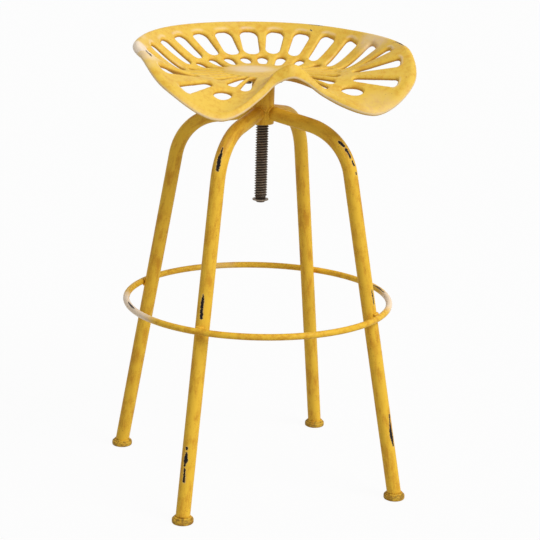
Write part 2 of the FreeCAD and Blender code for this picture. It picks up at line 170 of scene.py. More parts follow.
def rounded(corners, steps=5):
    """Profile through (radius, height, rounding) corners, with each corner rounded by an arc."""
    outline = []
    count = len(corners)
    for i, (x, y, size) in enumerate(corners):
        here = np.array([x, y], float)
        if size == 0:
            outline.append(here)
            continue
        before = np.array(corners[i - 1][:2], float) - here
        after = np.array(corners[(i + 1) % count][:2], float) - here
        start = here + before / np.linalg.norm(before) * size
        end = here + after / np.linalg.norm(after) * size
        for t in np.linspace(0, 1, steps):
            outline.append((1 - t) ** 2 * start + 2 * t * (1 - t) * here + t ** 2 * end)
    return outline


print("points round a square with round corners:", len(rounded([(1, 0, 1), (9, 0, 1), (9, 8, 1), (1, 8, 1)])))

# %% [markdown]
# ## The legs
#
# Each leg is a 22 mm tube. It leaves the sleeve nearly level, bends once and runs straight and
# slightly outward to its foot. Its upper end is coped, that is cut to the sleeve's round wall, and
# its lower end is cut level. A bent tube with those cuts is one row of rings whose first and last
# rings are slid along the tube onto the sleeve and onto the foot.

# %% Path of a leg's axis
LEG_R = 11.0
LEG_WALL = 1.6
FOOT_CIRCLE_R = 246.0
LEG_LEAN = 0.19
ARM_SLOPE = 0.19
ARM_Z = 590.8
BEND_R = 86.6


def leg_axis_r(z):
    """How far a leg's axis is from the screw's at a height."""
    return FOOT_CIRCLE_R - LEG_LEAN * z


def leg_path(spacing=5.0):
    """Points on a leg's axis and their directions, in the plane of radius and height."""
    corner_r = (FOOT_CIRCLE_R - LEG_LEAN * ARM_Z) / (1 - LEG_LEAN * ARM_SLOPE)
    corner = np.array([corner_r, ARM_Z - ARM_SLOPE * corner_r])
    out = np.array([1, -ARM_SLOPE]) / math.hypot(1, ARM_SLOPE)
    down = np.array([LEG_LEAN, -1]) / math.hypot(1, LEG_LEAN)
    turn = math.acos(out @ down)
    setback = BEND_R * math.tan(turn / 2)
    start, end = np.array([HUB_R, ARM_Z - ARM_SLOPE * HUB_R]), np.array([leg_axis_r(FOOT_H), FOOT_H])
    arc_start, arc_end = corner - out * setback, corner + down * setback
    centre = arc_start + np.array([out[1], -out[0]]) * BEND_R
    points, directions = [], []
    for t in np.linspace(0, 1, int(np.linalg.norm(arc_start - start) / spacing)):
        points.append(start + (arc_start - start) * t)
        directions.append(out)
    for a in np.linspace(0, turn, int(BEND_R * turn / spacing) + 8)[1:-1]:
        spin = np.array([[math.cos(a), math.sin(a)], [-math.sin(a), math.cos(a)]])
        points.append(centre + spin @ (arc_start - centre))
        directions.append(spin @ out)
    for t in np.linspace(0, 1, int(np.linalg.norm(end - arc_end) / spacing)):
        points.append(arc_end + (end - arc_end) * t)
        directions.append(down)
    return np.array(points), np.array(directions)


print("leg path points:", len(leg_path()[0]))

# %% [markdown]
# A leg has an outer and an inner wall, so it is a real tube. A Boolean cut could cope its upper end.
# Sliding the first rings onto the sleeve's round wall gives the same cut and keeps the even rows,
# which the paint's streaks follow later on.

# %% Legs
LEG_SIDES = 40
RINGS_AT_HUB, RINGS_AT_FOOT = 8, 6


def leg_wall(radius):
    """Rings of one wall of a leg towards +X, with its ends slid onto the sleeve and the foot."""
    points, directions = leg_path()
    turns = full_turn(LEG_SIDES)
    rings = []
    for (r, z), (dr, dz) in zip(points, directions):
        side = np.array([0, 1, 0])
        up = np.array([-dz, 0, dr])
        centre = np.array([r, 0, z])
        rings.append(centre + radius * (np.cos(turns)[:, None] * side + np.sin(turns)[:, None] * up))
    on_hub = np.sqrt(HUB_R ** 2 - rings[0][:, 1] ** 2)
    for ring in rings[:RINGS_AT_HUB]:
        pushed = np.maximum(ring[:, 0], on_hub)
        ring[:, 2] -= (pushed - ring[:, 0]) * ARM_SLOPE
        ring[:, 0] = pushed
    rings[0][:, 2] -= (on_hub - rings[0][:, 0]) * ARM_SLOPE
    rings[0][:, 0] = on_hub
    for ring in rings[-RINGS_AT_FOOT:]:
        lifted = np.maximum(ring[:, 2], FOOT_H)
        ring[:, 0] -= (lifted - ring[:, 2]) * LEG_LEAN
        ring[:, 2] = lifted
    rings[-1][:, 0] -= (FOOT_H - rings[-1][:, 2]) * LEG_LEAN
    rings[-1][:, 2] = FOOT_H
    return rings


def leg():
    """One leg towards +X. Its inner wall is the same skin, run through backwards."""
    outer, inner = leg_wall(LEG_R), leg_wall(LEG_R - LEG_WALL)
    return skin(outer + inner[::-1], closed=True)


leg_pieces = {}
for where, degrees in LEG_ANGLES.items():
    leg_pieces[where] = piece("leg_tube_" + where, "frame", "mustard_paint", *turned(leg(), degrees),
                              replaces=["leg_" + where])
print("legs:", sorted(leg_pieces))

# %% [markdown]
# ## The foot ring
#
# The ring is one 10 mm rod, bent to a circle round the outside of the legs. Blender has a torus of
# its own. A skin over round rings is the same shape, and takes its sizes straight from the frame.

# %% Foot ring
def hoop(radius, rod_r, z, segments=240, sides=28):
    """Round rod bent to a level circle."""
    rings = []
    turns = full_turn(sides)
    for a in full_turn(segments):
        r = radius + rod_r * np.cos(turns)
        rings.append(np.stack([r * math.cos(a), r * math.sin(a), z - rod_r * np.sin(turns)], axis=1))
    return skin(rings, closed=True)


ring_piece = piece("foot_ring_rod", "frame", "mustard_paint", *hoop(RING_R, RING_ROD_R, RING_Z),
                   replaces=["foot_ring"])
print("faces of the foot ring:", len(ring_piece.data.polygons))

# %% [markdown]
# ## The feet
#
# The feet are round discs with softened edges. A cylinder with a Bevel modifier would give the same.
# A turned profile does it without modifiers, and the same helper serves the sleeve, the washers and
# the flange. A profile that touched its axis would leave many points in one spot, so this one
# starts a hair away from it.

# %% Feet
FOOT_CORE, FOOT_EDGE = 0.6, 2.6
foot_profile = rounded([(FOOT_CORE, 0.0, 0), (FOOT_R, 0.0, FOOT_EDGE), (FOOT_R, FOOT_H, FOOT_EDGE),
                        (FOOT_CORE, FOOT_H, 0)])
foot_pieces = {}
for where, degrees in LEG_ANGLES.items():
    low, high = map(in_mm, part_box("foot_" + where))
    middle = ((low[0] + high[0]) / 2, (low[1] + high[1]) / 2)
    foot_pieces[where] = piece("foot_disc_" + where, "frame", "mustard_paint",
                               *lathe(foot_profile, middle, 48), replaces=["foot_" + where])
print("feet:", sorted(foot_pieces))

# %% [markdown]
# ## The sleeve
#
# The sleeve is turned from thick bar: a tube with softened ends, and the screw runs in its bore. A
# solid cylinder would need a Boolean cut for that. A closed profile that keeps clear of the axis is
# a tube from the start.

# %% Sleeve
BORE_R = SCREW_R + 0.06
BORE_EDGE, HUB_EDGE = 0.8, 1.6
hub_profile = rounded([(BORE_R, HUB_BOTTOM, BORE_EDGE), (HUB_R, HUB_BOTTOM, HUB_EDGE),
                       (HUB_R, HUB_TOP, HUB_EDGE), (BORE_R, HUB_TOP, BORE_EDGE)])
hub_piece = piece("hub_sleeve", "frame", "mustard_paint", *lathe(hub_profile, segments=96),
                  replaces=["hub"])
print("sleeve: radius", round(HUB_R, 2), "mm and height", round(HUB_TOP - HUB_BOTTOM, 2), "mm")

# %% [markdown]
# ## Weld beads
#
# A weld bead is a row of overlapping puddles along the joint. It is a round bar along the joint's
# line whose thickness rises and falls once for each puddle. A displacement texture would give
# ripples too, but here they are in the mesh, so the outline shows them.

# %% A rippled bead along a line
THINNEST, SWELL = 0.86, 0.2


def bead(line, radius, puddle=2.6, closed=False, sides=12):
    """Round bar along points in space, swelling once each puddle. Open beads taper at their ends."""
    line = np.asarray(line, float)
    count = len(line)
    ahead = np.roll(line, -1, axis=0) - np.roll(line, 1, axis=0)
    if not closed:
        ahead[0], ahead[-1] = line[1] - line[0], line[-1] - line[-2]
    ahead /= np.linalg.norm(ahead, axis=1, keepdims=True)
    steps = np.linalg.norm(np.roll(line, -1, axis=0) - line, axis=1)
    along = np.concatenate([[0], np.cumsum(steps[:-1])])
    total = along[-1] + (steps[-1] if closed else 0)
    waves = max(1, round(total / puddle))
    share = (along / total * waves) % 1
    size = radius * (THINNEST + SWELL * np.sqrt(np.clip(1 - (2 * share - 1) ** 2, 0, 1)))
    if not closed:
        size = size * np.sqrt(np.clip(np.sin(math.pi * (0.04 + 0.92 * along / total)), 0.05, 1))
    turns = full_turn(sides)
    up = np.array([0, 0, 1.0])
    rings = []
    for i in range(count):
        side = np.cross(ahead[i], up)
        if np.linalg.norm(side) < 0.2:
            side = np.cross(ahead[i], np.array([1.0, 0, 0]))
        side /= np.linalg.norm(side)
        top = np.cross(side, ahead[i])
        rings.append(line[i] + size[i] * (np.cos(turns)[:, None] * side + np.sin(turns)[:, None] * top))
    return skin(rings, closed=closed, caps=not closed)


print("a bead's thickness goes from", THINNEST, "to", round(THINNEST + SWELL, 2), "of its size")

# %% [markdown]
# Each bead follows the line where two pieces meet. Round a leg's upper end that is where a sloping
# tube runs into an upright one, so the points come from that crossing. A plain ring there would sink
# into the sleeve on two sides and hang in the air on the other two.

# %% Beads round the legs' ends
HUB_BEAD_R, FOOT_BEAD_R, RING_BEAD_R = 1.7, 2.2, 3.0
HUB_BEAD_POINTS, FOOT_BEAD_POINTS, DAB_POINTS = 110, 96, 26
DAB_ANGLE = 0.62
DAB_PUDDLE = 3.4


def hub_bead():
    """Closed bead where one leg meets the sleeve."""
    radius = LEG_R + 0.1
    line = []
    for a in full_turn(HUB_BEAD_POINTS):
        y = radius * math.cos(a)
        x = math.sqrt((HUB_R + 0.2) ** 2 - y * y)
        z = ARM_Z - ARM_SLOPE * x + radius * math.sin(a) * math.hypot(1, ARM_SLOPE)
        line.append((x, y, z))
    return bead(line, HUB_BEAD_R, closed=True)


def foot_bead():
    """Closed bead where one leg meets its foot."""
    radius = LEG_R + 0.6
    a = full_turn(FOOT_BEAD_POINTS)
    line = np.stack([leg_axis_r(FOOT_H) + radius * np.cos(a), radius * np.sin(a),
                     np.full(FOOT_BEAD_POINTS, FOOT_H + 0.5)], axis=1)
    return bead(line, FOOT_BEAD_R, closed=True)


def ring_beads():
    """Two short beads, over and under the ring, across one leg."""
    radius = LEG_R + 0.5
    reach = radius / math.cos(math.atan(LEG_LEAN))
    made = []
    for side in (-1, 1):
        z = RING_Z + side * (RING_ROD_R - 0.8)
        axis_r = leg_axis_r(z)
        line = []
        for a in np.linspace(-DAB_ANGLE, DAB_ANGLE, DAB_POINTS):
            line.append((axis_r + reach * math.cos(a), radius * math.sin(a), z + side * a * a))
        made.append(bead(line, RING_BEAD_R, puddle=DAB_PUDDLE))
    return made


hub_bead_piece = piece("hub_weld_beads", "frame", "mustard_paint",
                       *joined([turned(hub_bead(), d) for d in LEG_ANGLES.values()]),
                       replaces=["hub_welds"])
foot_bead_piece = piece("foot_weld_beads", "frame", "mustard_paint",
                        *joined([turned(foot_bead(), d) for d in LEG_ANGLES.values()]),
                        replaces=["foot_welds"])
ring_bead_piece = piece("ring_weld_beads", "frame", "mustard_paint",
                        *joined([turned(dab, d) for d in LEG_ANGLES.values() for dab in ring_beads()]),
                        replaces=["ring_welds"])
print("bead faces:", len(hub_bead_piece.data.polygons), len(foot_bead_piece.data.polygons))

# %% [markdown]
# ## The screw
#
# The seat turns on a 20 mm rod with a coarse 4 mm right-hand thread. A screw modifier could wind a
# profile up the rod. Here the thread is a wavy skin: at each height and direction the radius
# follows the thread's profile, shifted by one pitch for each turn. That needs no joins at its ends.

# %% Threaded rod
THREAD_PITCH = 4.0
THREAD_DEPTH = 2.45
CREST_SHARE, FLANK_SHARE = 0.12, 0.74
PLAIN_NECK = 3.0
TIP_INSET = 3.4
TIP_SLOPE = 0.6


def thread_radius(share):
    """Radius over one pitch: narrow flat crest, straight flanks, narrow flat root."""
    share = np.abs(share % 1 - 0.5) * 2
    return SCREW_R - THREAD_DEPTH * np.clip((share - CREST_SHARE) / FLANK_SHARE, 0, 1)


def screw_skin(z0, z1, sides=64, step=0.25):
    """Threaded rod from one height to another, plain at its neck and pointed at its lower end."""
    turns = full_turn(sides)
    heights = np.arange(z0, z1 + step / 2, step)
    plain_from = FLANGE_BOTTOM - PLAIN_NECK
    rings = []
    for z in heights:
        r = thread_radius(z / THREAD_PITCH - turns / (2 * math.pi))
        r = np.where(z > plain_from, SCREW_R, r)
        r = np.minimum(r, SCREW_R - TIP_INSET + (z - z0) * TIP_SLOPE)
        rings.append(np.stack([r * np.cos(turns), r * np.sin(turns), np.full(sides, z)], axis=1))
    return skin(rings, caps=True)


screw_piece = piece("threaded_spindle", "seat", "bare_steel", *screw_skin(SCREW_BOTTOM, FLANGE_TOP),
                    replaces=["spindle_screw"])
print("screw faces:", len(screw_piece.data.polygons))

# %% [markdown]
# ## The stop and the flange
#
# A loose washer under the screw's end keeps it from being wound out of the sleeve, and a round
# headed bolt with a drilled recess holds the washer. At the top sits a round plate that is bolted to
# the seat from below, with a groove round the screw for its weld. All three are round about one
# axis, so they are turned profiles like the feet.

# %% Stop washer, stop bolt and flange
washer_low, washer_high = map(in_mm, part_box("stop_washer"))
stop_low, stop_high = map(in_mm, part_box("stop_bolt"))
STOP_HEAD_R = stop_high[0]
STOP_HEAD_H = 3.0
STOP_SHANK_R = 4.0
STOP_HOLE_R = 4.3
STOP_CORE = 0.3
RECESS_R, RECESS_MOUTH_R, RECESS_DEPTH = 2.5, 3.0, 1.6
GROOVE_DEPTH = 3
PLATE_BORE_R, GROOVE_R = SCREW_R + 0.05, SCREW_R + 3.05
washer_profile = rounded([(STOP_HOLE_R, washer_low[2], 0.3), (washer_high[0], washer_low[2], 0.6),
                          (washer_high[0], washer_high[2], 0.6), (STOP_HOLE_R, washer_high[2], 0.3)])
washer_piece = piece("stop_washer_disc", "stop", "bare_steel", *lathe(washer_profile, segments=64),
                     replaces=["stop_washer"])
head_top = stop_low[2] + STOP_HEAD_H
recess_top = stop_low[2] + RECESS_DEPTH
stop_profile = rounded([(STOP_CORE, recess_top, 0), (RECESS_R, recess_top, 0.2),
                        (RECESS_MOUTH_R, stop_low[2], 0.3), (STOP_HEAD_R, stop_low[2], 1.4),
                        (STOP_HEAD_R, head_top, 0.4), (STOP_SHANK_R, head_top, 0.1),
                        (STOP_SHANK_R, stop_high[2], 0.6), (STOP_CORE, stop_high[2], 0)])
stop_piece = piece("stop_bolt_round", "seat", "bare_steel", *lathe(stop_profile, segments=64),
                   replaces=["stop_bolt"])
flange_profile = rounded([(PLATE_BORE_R, FLANGE_BOTTOM, 0.2), (FLANGE_R, FLANGE_BOTTOM, 0.9),
                          (FLANGE_R, FLANGE_TOP, 0.9), (GROOVE_R, FLANGE_TOP, 0.1),
                          (PLATE_BORE_R, FLANGE_TOP - GROOVE_DEPTH, 0.1)])
flange_piece = piece("seat_flange_plate", "seat", "mustard_paint", *lathe(flange_profile, segments=96),
                     replaces=["spindle_flange"])
print("stop washer: radius", round(washer_high[0], 2), "mm. Flange: radius", round(FLANGE_R, 2), "mm")

# %% [markdown]
# A bought bolt has the corners of its hexagon turned off below. Each sits on a spring washer, which
# is square wire wound once with its ends a little apart. A closed ring would be simpler to make, but
# the gap and the lifted end are what a spring washer is known by.

# %% Bolts with spring washers
BOLT_CIRCLE_R = 25.0
BOLT_R = 3.0
BOLT_HEAD_AF = 10.0
BOLT_HEAD_H = 4.0
HEAD_FLAT_R = BOLT_HEAD_AF / 2
SPRING_T = 1.6
SPRING_BORE_R, SPRING_OUTER_R = 3.6, 5.8
SPRING_HALF_T, SPRING_LIFT = 0.6, 0.35
SPRING_FROM, SPRING_TO = math.radians(6), math.radians(352)
BOLT_ANGLES = (0.0, 90.0, 180.0, 270.0)
bolts_top = in_mm(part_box("flange_bolts")[1])[2]


def hex_bolt():
    """Hexagon head with its corners turned off below, and a plain shank."""
    sides = 72
    turns = full_turn(sides)
    sector = math.pi / 3
    flats = HEAD_FLAT_R / np.cos((turns + sector / 2) % sector - sector / 2)
    top = FLANGE_BOTTOM - SPRING_T
    low = top - BOLT_HEAD_H
    shank = np.full(sides, BOLT_R)
    rows = [(low, np.minimum(flats, HEAD_FLAT_R - 0.5)), (low + 0.5, np.minimum(flats, HEAD_FLAT_R + 0.2)),
            (low + 1.0, flats - 0.05), (low + 1.1, flats), (top - 0.25, flats), (top, flats - 0.2),
            (top, shank), (bolts_top - 0.6, shank), (bolts_top, shank - 0.6)]
    rings = [np.stack([BOLT_CIRCLE_R + r * np.cos(turns), r * np.sin(turns), np.full(sides, z)], axis=1)
             for z, r in rows]
    return skin(rings, caps=True)


def split_washer():
    """Square wire wound one turn, with its ends a little apart."""
    rings = []
    section = [(SPRING_BORE_R, -1), (SPRING_OUTER_R, -1), (SPRING_OUTER_R, 1), (SPRING_BORE_R, 1)]
    for a in np.linspace(SPRING_FROM, SPRING_TO, 56):
        lift = SPRING_LIFT * (a / (2 * math.pi) - 0.5)
        rings.append([(BOLT_CIRCLE_R + r * math.cos(a), r * math.sin(a),
                       FLANGE_BOTTOM - SPRING_T / 2 + z * SPRING_HALF_T + lift) for r, z in section])
    return skin(rings, caps=True)


bolt_piece = piece("flange_hex_bolts", "seat", "bolt_steel",
                   *joined([turned(hex_bolt(), d) for d in BOLT_ANGLES]), replaces=["flange_bolts"])
spring_piece = piece("split_spring_washers", "seat", "bolt_steel",
                     *joined([turned(split_washer(), d) for d in BOLT_ANGLES]),
                     replaces=["spring_washers"])
print("faces of the bolts:", len(bolt_piece.data.polygons), "and of the spring washers:",
      len(spring_piece.data.polygons))

# %% [markdown]
# ## The seat
#
# The seat is the hard piece. It is a thin iron casting: a flat floor, a wall that rises behind and at
# the sides, two lobes that drop in front under the thighs, and a raised pommel between them. Two
# rows of slots go through it, and every edge is round, because the pattern for the mould was.
#
# Solidify and Bevel modifiers on a sheet with holes would pinch where slots crowd together. A
# distance field doesn't: it says for any point in space how far it is from the casting, so the
# plate, its slots and its round edges are each a short formula, and the mesh is the surface where
# the distance is zero.
#
# First the plan of the seat. Its edge is described at a few stations, and smooth cubic pieces run
# between them.

# %% Edge of the seat
SEAT_T = 6.5
LIP_INSET = 10.0
CREST_SLOPE = 1.06
PAD_R, PAD_T = 35.0, 2.0
FLOOR_Z = FLANGE_TOP + PAD_T + SEAT_T
FLOOR_FRONT, FLOOR_SIDE, FLOOR_BACK = 48.0, 121.0, 58.0
STATIONS = [  # angle from the front, radius of the edge, height of the crest, turn-down of the lip
    (0.0, 129.0, 29.7, 17.0), (10.0, 126.5, 20.0, 15.5), (21.0, 142.0, -5.2, 11.5),
    (37.3, 200.5, -33.2, 7.5), (57.0, 234.0, 8.5, 5.5), (75.0, 220.5, 43.0, 3.0),
    (111.0, 189.5, 51.0, 4.5), (140.0, 175.5, 54.5, 4.0), (180.0, 168.5, 55.5, 5.0)]
mirrored = [(-angle, *values) for angle, *values in STATIONS[1:-1]]
LOOP = np.array(sorted((angle + 360 * turn, *values) for turn in (-1, 0, 1)
                       for angle, *values in STATIONS + mirrored))
RADIUS, CREST, LIP = 1, 2, 3


def smooth(share):
    """From 0 to 1, level at both ends."""
    return share * share * (3 - 2 * share)


def along_edge(angle, column):
    """One column of the stations at any angle, by cubics that don't overshoot."""
    at, value = LOOP[:, 0], LOOP[:, column]
    slopes = np.diff(value) / np.diff(at)
    first, second = slopes[:-1], slopes[1:]
    tangent = np.zeros(len(at))
    same_way = first * second > 0
    tangent[1:-1][same_way] = 2 * (first * second)[same_way] / (first + second)[same_way]
    i = np.searchsorted(at, angle, side="right") - 1
    span = at[i + 1] - at[i]
    t = (angle - at[i]) / span
    rise = smooth(t)
    return (value[i] * (1 - rise) + value[i + 1] * rise
            + span * tangent[i] * t * (1 - t) ** 2 - span * tangent[i + 1] * t * t * (1 - t))


def floor_reach(angle):
    """Radius of the flat floor's edge: half ellipses in front and behind."""
    cosine = np.cos(np.radians(angle))
    along = cosine / np.where(cosine > 0, FLOOR_FRONT, FLOOR_BACK)
    return 1 / np.hypot(np.sin(np.radians(angle)) / FLOOR_SIDE, along)


print("seat edge at the back:", along_edge(np.array([180.0]), RADIUS))

# %% [markdown]
# Everything about the seat that doesn't depend on height is kept in flat maps over x and y: the
# height of its top, the height of its underside, and how far each spot is from the rim and from the
# nearest slot. The underside is the top, worn down by a ball as thick as the plate, so the
# thickness is even on the floor and on the steep wall alike.

# %% Flat maps of the seat
MAP_STEP = 1.0
EDGE_OUT = 3.0
BEYOND = 1.5
SINK, SINK_CREST = 1.0, 30.0
map_x = np.arange(-222, 222.01, MAP_STEP)
map_y = np.arange(-172, 186.01, MAP_STEP)
X, Y = np.meshgrid(map_x, map_y, indexing="ij")
ANGLE, R = np.degrees(np.arctan2(X, -Y)), np.hypot(X, Y)
edge_r, crest, lip = (along_edge(ANGLE, column) for column in (RADIUS, CREST, LIP))
crest_r = edge_r - LIP_INSET
floor_r = floor_reach(ANGLE)
share = np.clip((R - floor_r) / (crest_r - floor_r), 0, 1)
rise = crest * (smooth(share) - CREST_SLOPE * share * share * (1 - share))
slope = crest * CREST_SLOPE / (crest_r - floor_r) * LIP_INSET
past = np.clip((R - crest_r) / LIP_INSET, 0, None)
near = np.minimum(past, 1)
bow = lip + slope
end_slope = slope - 2 * bow
rise = rise + slope * near - bow * near ** 2 + end_slope * np.clip(past - 1, 0, BEYOND)
sink = SINK * np.clip(crest / SINK_CREST, 0, 1)
top_map = FLOOR_Z + rise - sink * smooth(share)


def steepness(height):
    """Share by which an upright distance shrinks on a slope."""
    gx, gy = np.gradient(height, MAP_STEP)
    return 1 / np.sqrt(1 + gx ** 2 + gy ** 2)


under_map = np.full(top_map.shape, 1e9)
reach = int(SEAT_T / MAP_STEP)
for i in range(-reach, reach + 1):
    for j in range(-reach, reach + 1):
        ball = SEAT_T ** 2 - (i * i + j * j) * MAP_STEP ** 2
        if ball >= 0:
            under_map = np.minimum(under_map, np.roll(top_map, (i, j), (0, 1)) - math.sqrt(ball))
print("top of the seat from", top_map.min().round(1), "to", top_map.max().round(1))

# %% [markdown]
# ## The slots
#
# The slots of both rows stand side by side along one line inside the rim, at even distances. The
# pattern maker must have stepped them off like that, and not by equal angles, since the slots far
# out at the sides are no wider apart than those behind.

# %% The rows of slots
MARGIN_BACK, MARGIN_SIDE = 23.5, 22.0
ANGLE_STEP = 0.25


def back_to_side(angle, at_back, at_side):
    """A value behind the sitter that changes to another at the sides."""
    share = np.sin(np.radians(angle)) ** 2
    return at_back * (1 - share) + at_side * share


def row_r(angle):
    """Radius of the line at which the outer slots end."""
    return along_edge(angle, RADIUS) - back_to_side(angle, MARGIN_BACK, MARGIN_SIDE)


def row_angles(distances):
    """Angles from the front at distances along the outer row's line, counted from the back."""
    angles = np.arange(180, 0, -ANGLE_STEP)
    r = row_r(angles)
    steps = np.hypot(r[:-1] * math.radians(ANGLE_STEP), np.diff(r))
    return np.interp(distances, np.concatenate([[0], np.cumsum(steps)]), angles)


print("100 mm from the back, the row is at", row_angles(100.0).round(1), "degrees")

# %% [markdown]
# An outer slot is a trapezoid with round corners, like a barrel stave. An inner one is shaped like a
# drop: two circles and their tangents. Curves could be drawn for both and cut through the plate.
# Each has an exact distance formula instead, which the round edges need anyway.

# %% Distance to one slot
def drop_distance(angle, start_r, start_size, end_r, end_size):
    """Distance to a slot with a round inner end and a round outer end."""
    a = math.radians(angle)
    ux, uy = math.sin(a), -math.cos(a)
    first, last = start_r + start_size, end_r - end_size
    length = last - first
    q = np.abs(X * uy - Y * ux)
    t = X * ux + Y * uy - first
    b = (start_size - end_size) / length
    c = math.sqrt(1 - b * b)
    k = c * t - b * q
    return np.where(k < 0, np.hypot(q, t) - start_size,
                    np.where(k > c * length, np.hypot(q, t - length) - end_size,
                             q * c + t * b - start_size))


def barrel_distance(angle, start_r, start_half, end_r, end_half, corner):
    """Distance to a slot with flat ends: a trapezoid, grown by the radius of its corners."""
    a = math.radians(angle)
    ux, uy = math.sin(a), -math.cos(a)
    half_length = (end_r - start_r) / 2 - corner
    x = np.abs(X * uy - Y * ux)
    y = X * ux + Y * uy - (start_r + end_r) / 2
    low, high = start_half - corner, end_half - corner
    end_x, end_y = x - np.minimum(x, np.where(y < 0, low, high)), np.abs(y) - half_length
    side_x, side_y = high - low, 2 * half_length
    share = np.clip(((high - x) * side_x + (half_length - y) * side_y) / (side_x ** 2 + side_y ** 2), 0, 1)
    gap_x, gap_y = x - high + side_x * share, y - half_length + side_y * share
    gap = np.sqrt(np.minimum(end_x ** 2 + end_y ** 2, gap_x ** 2 + gap_y ** 2))
    return np.where((gap_x < 0) & (end_y < 0), -gap, gap) - corner


print("a slot towards the front spans", (drop_distance(0.0, 60.0, 6.0, 95.0, 8.5) < 0).sum(), "square mm")

# %% [markdown]
# Behind the sitter the outer slots are broad, and towards the front they get short and narrow. The
# inner row sits between their ribs. In front, where the seat drops under the thighs, an oval eye
# goes through each lobe. All of them go into one map, in which the nearest slot wins.

# %% Slots on the plan
PITCH, INNER_PITCH = 45.2, 46.4
OUTER_COUNT, INNER_COUNT = 9, 10
OUTER_START, OUTER_START_HALF = (99.0, 141.0), (13.0, 6.5)  # behind the sitter, in front
OUTER_END_HALF = 14.2, 9.0
CORNER_R, CORNER_SHARE = 11.0, 0.95
INNER_START, INNER_START_R = (73.0, 61.0), (6.0, 3.0)  # behind the sitter, at the sides
INNER_END, INNER_END_R = (94.5, 118.0), (8.5, 6.0)
EYE_X, EYE_Y = 102.0, -109.0
EYE_LONG, EYE_WIDE = 16.5, 9.0
EYE_TURN = math.radians(27.0)


def between(start, end, share):
    """The value at a share of the way from start to end."""
    return start + (end - start) * share


slot_map = np.full(X.shape, 1e3)
for i, angle in enumerate(row_angles(PITCH * (np.arange(OUTER_COUNT) + 0.5))):
    forward = i / (OUTER_COUNT - 1)
    start_half = between(*OUTER_START_HALF, min(1, 2 * forward))
    slot = (between(*OUTER_START, forward), start_half,
            float(row_r(angle)), between(*OUTER_END_HALF, forward), min(CORNER_R, CORNER_SHARE * start_half))
    for side in (-1, 1):
        slot_map = np.minimum(slot_map, barrel_distance(side * angle, *slot))
for i, angle in enumerate(row_angles(INNER_PITCH * np.arange(INNER_COUNT + 1))):
    behind = max(angle, 90.0)
    slot = (back_to_side(behind, *INNER_START), back_to_side(angle, *INNER_START_R),
            back_to_side(behind, *INNER_END), back_to_side(angle, *INNER_END_R))
    for side in (-1, 1):
        slot_map = np.minimum(slot_map, drop_distance(side * angle, *slot))
swing_c, swing_s = math.cos(EYE_TURN), math.sin(EYE_TURN)
for side in (-1, 1):
    dx, dy = X * side - EYE_X, Y - EYE_Y
    u, v = (dx * swing_c - dy * swing_s) / EYE_LONG, (dx * swing_s + dy * swing_c) / EYE_WIDE
    q = np.hypot(u, v)
    pace = np.maximum(np.hypot(u / EYE_LONG, v / EYE_WIDE), 1e-6)
    slot_map = np.minimum(slot_map, q * (q - 1) / pace)
print("share of the plan that is slot:", (slot_map < 0).mean().round(3))

# %% [markdown]
# Now the distance itself. The plate lies between its top and its underside, outside the slots and
# inside the rim. Where two of those meet, a sharp edge is swapped for a round one: rounding a
# corner of two distances takes one line, and its size is the radius of the edge.

# %% Distance to the casting
EDGE_TOP, EDGE_UNDER = 3.4, 2.2
EDGE_RIM = SEAT_T / 2 - 0.05
RIM_ZONE = 15.0
lip_z = FLOOR_Z + crest - lip - sink
tilt = end_slope / LIP_INSET
across = 1 / np.hypot(1, tilt)
turn_rate = (along_edge(ANGLE + 0.5, RADIUS) - along_edge(ANGLE - 0.5, RADIUS)) / math.radians(1)
slant = 1 / np.sqrt(1 + (turn_rate / (edge_r + EDGE_OUT)) ** 2)
MAPS = {"top": top_map, "top_c": steepness(top_map), "under": under_map, "under_c": steepness(under_map),
        "slot": slot_map, "rim": (R - edge_r) * slant * across - lip_z * across * tilt,
        "rim_z": across * tilt, "far": R - crest_r + RIM_ZONE}
MAPS = {key: value.astype(np.float32) for key, value in MAPS.items()}


def soft_corner(a, b, size):
    """Distance inside both of two shapes, with their common edge rounded."""
    return np.minimum(-size, np.maximum(a, b)) + np.hypot(np.maximum(size + a, 0), np.maximum(size + b, 0))


def casting_distance(maps, z):
    """Distance to the slotted plate, at heights above the flat maps."""
    top = (z - maps["top"]) * maps["top_c"]
    under = (maps["under"] - z) * maps["under_c"]
    rim = np.minimum(maps["rim"] + z * maps["rim_z"] - EDGE_OUT, maps["far"])
    upper = soft_corner(soft_corner(top, -maps["slot"], EDGE_TOP), rim, EDGE_RIM)
    lower = soft_corner(soft_corner(under, -maps["slot"], EDGE_UNDER), rim, EDGE_RIM)
    return np.maximum(upper, lower)


def sample(grid, x, y):
    """A flat map read between its points."""
    u, v = (x - map_x[0]) / MAP_STEP, (y - map_y[0]) / MAP_STEP
    i, j = np.clip(u.astype(int), 0, grid.shape[0] - 2), np.clip(v.astype(int), 0, grid.shape[1] - 2)
    fu, fv = u - i, v - j
    return ((grid[i, j] * (1 - fu) + grid[i + 1, j] * fu) * (1 - fv)
            + (grid[i, j + 1] * (1 - fu) + grid[i + 1, j + 1] * fu) * fv)


print("flat maps:", sorted(MAPS))

# %% [markdown]
# ## From distance to mesh
#
# Surface nets turn a grid of distances into quads. Every grid cell that the surface crosses gets one
# point, the mean of the crossings on its edges, and every grid line that the surface cuts gets one
# quad between the four cells round it.

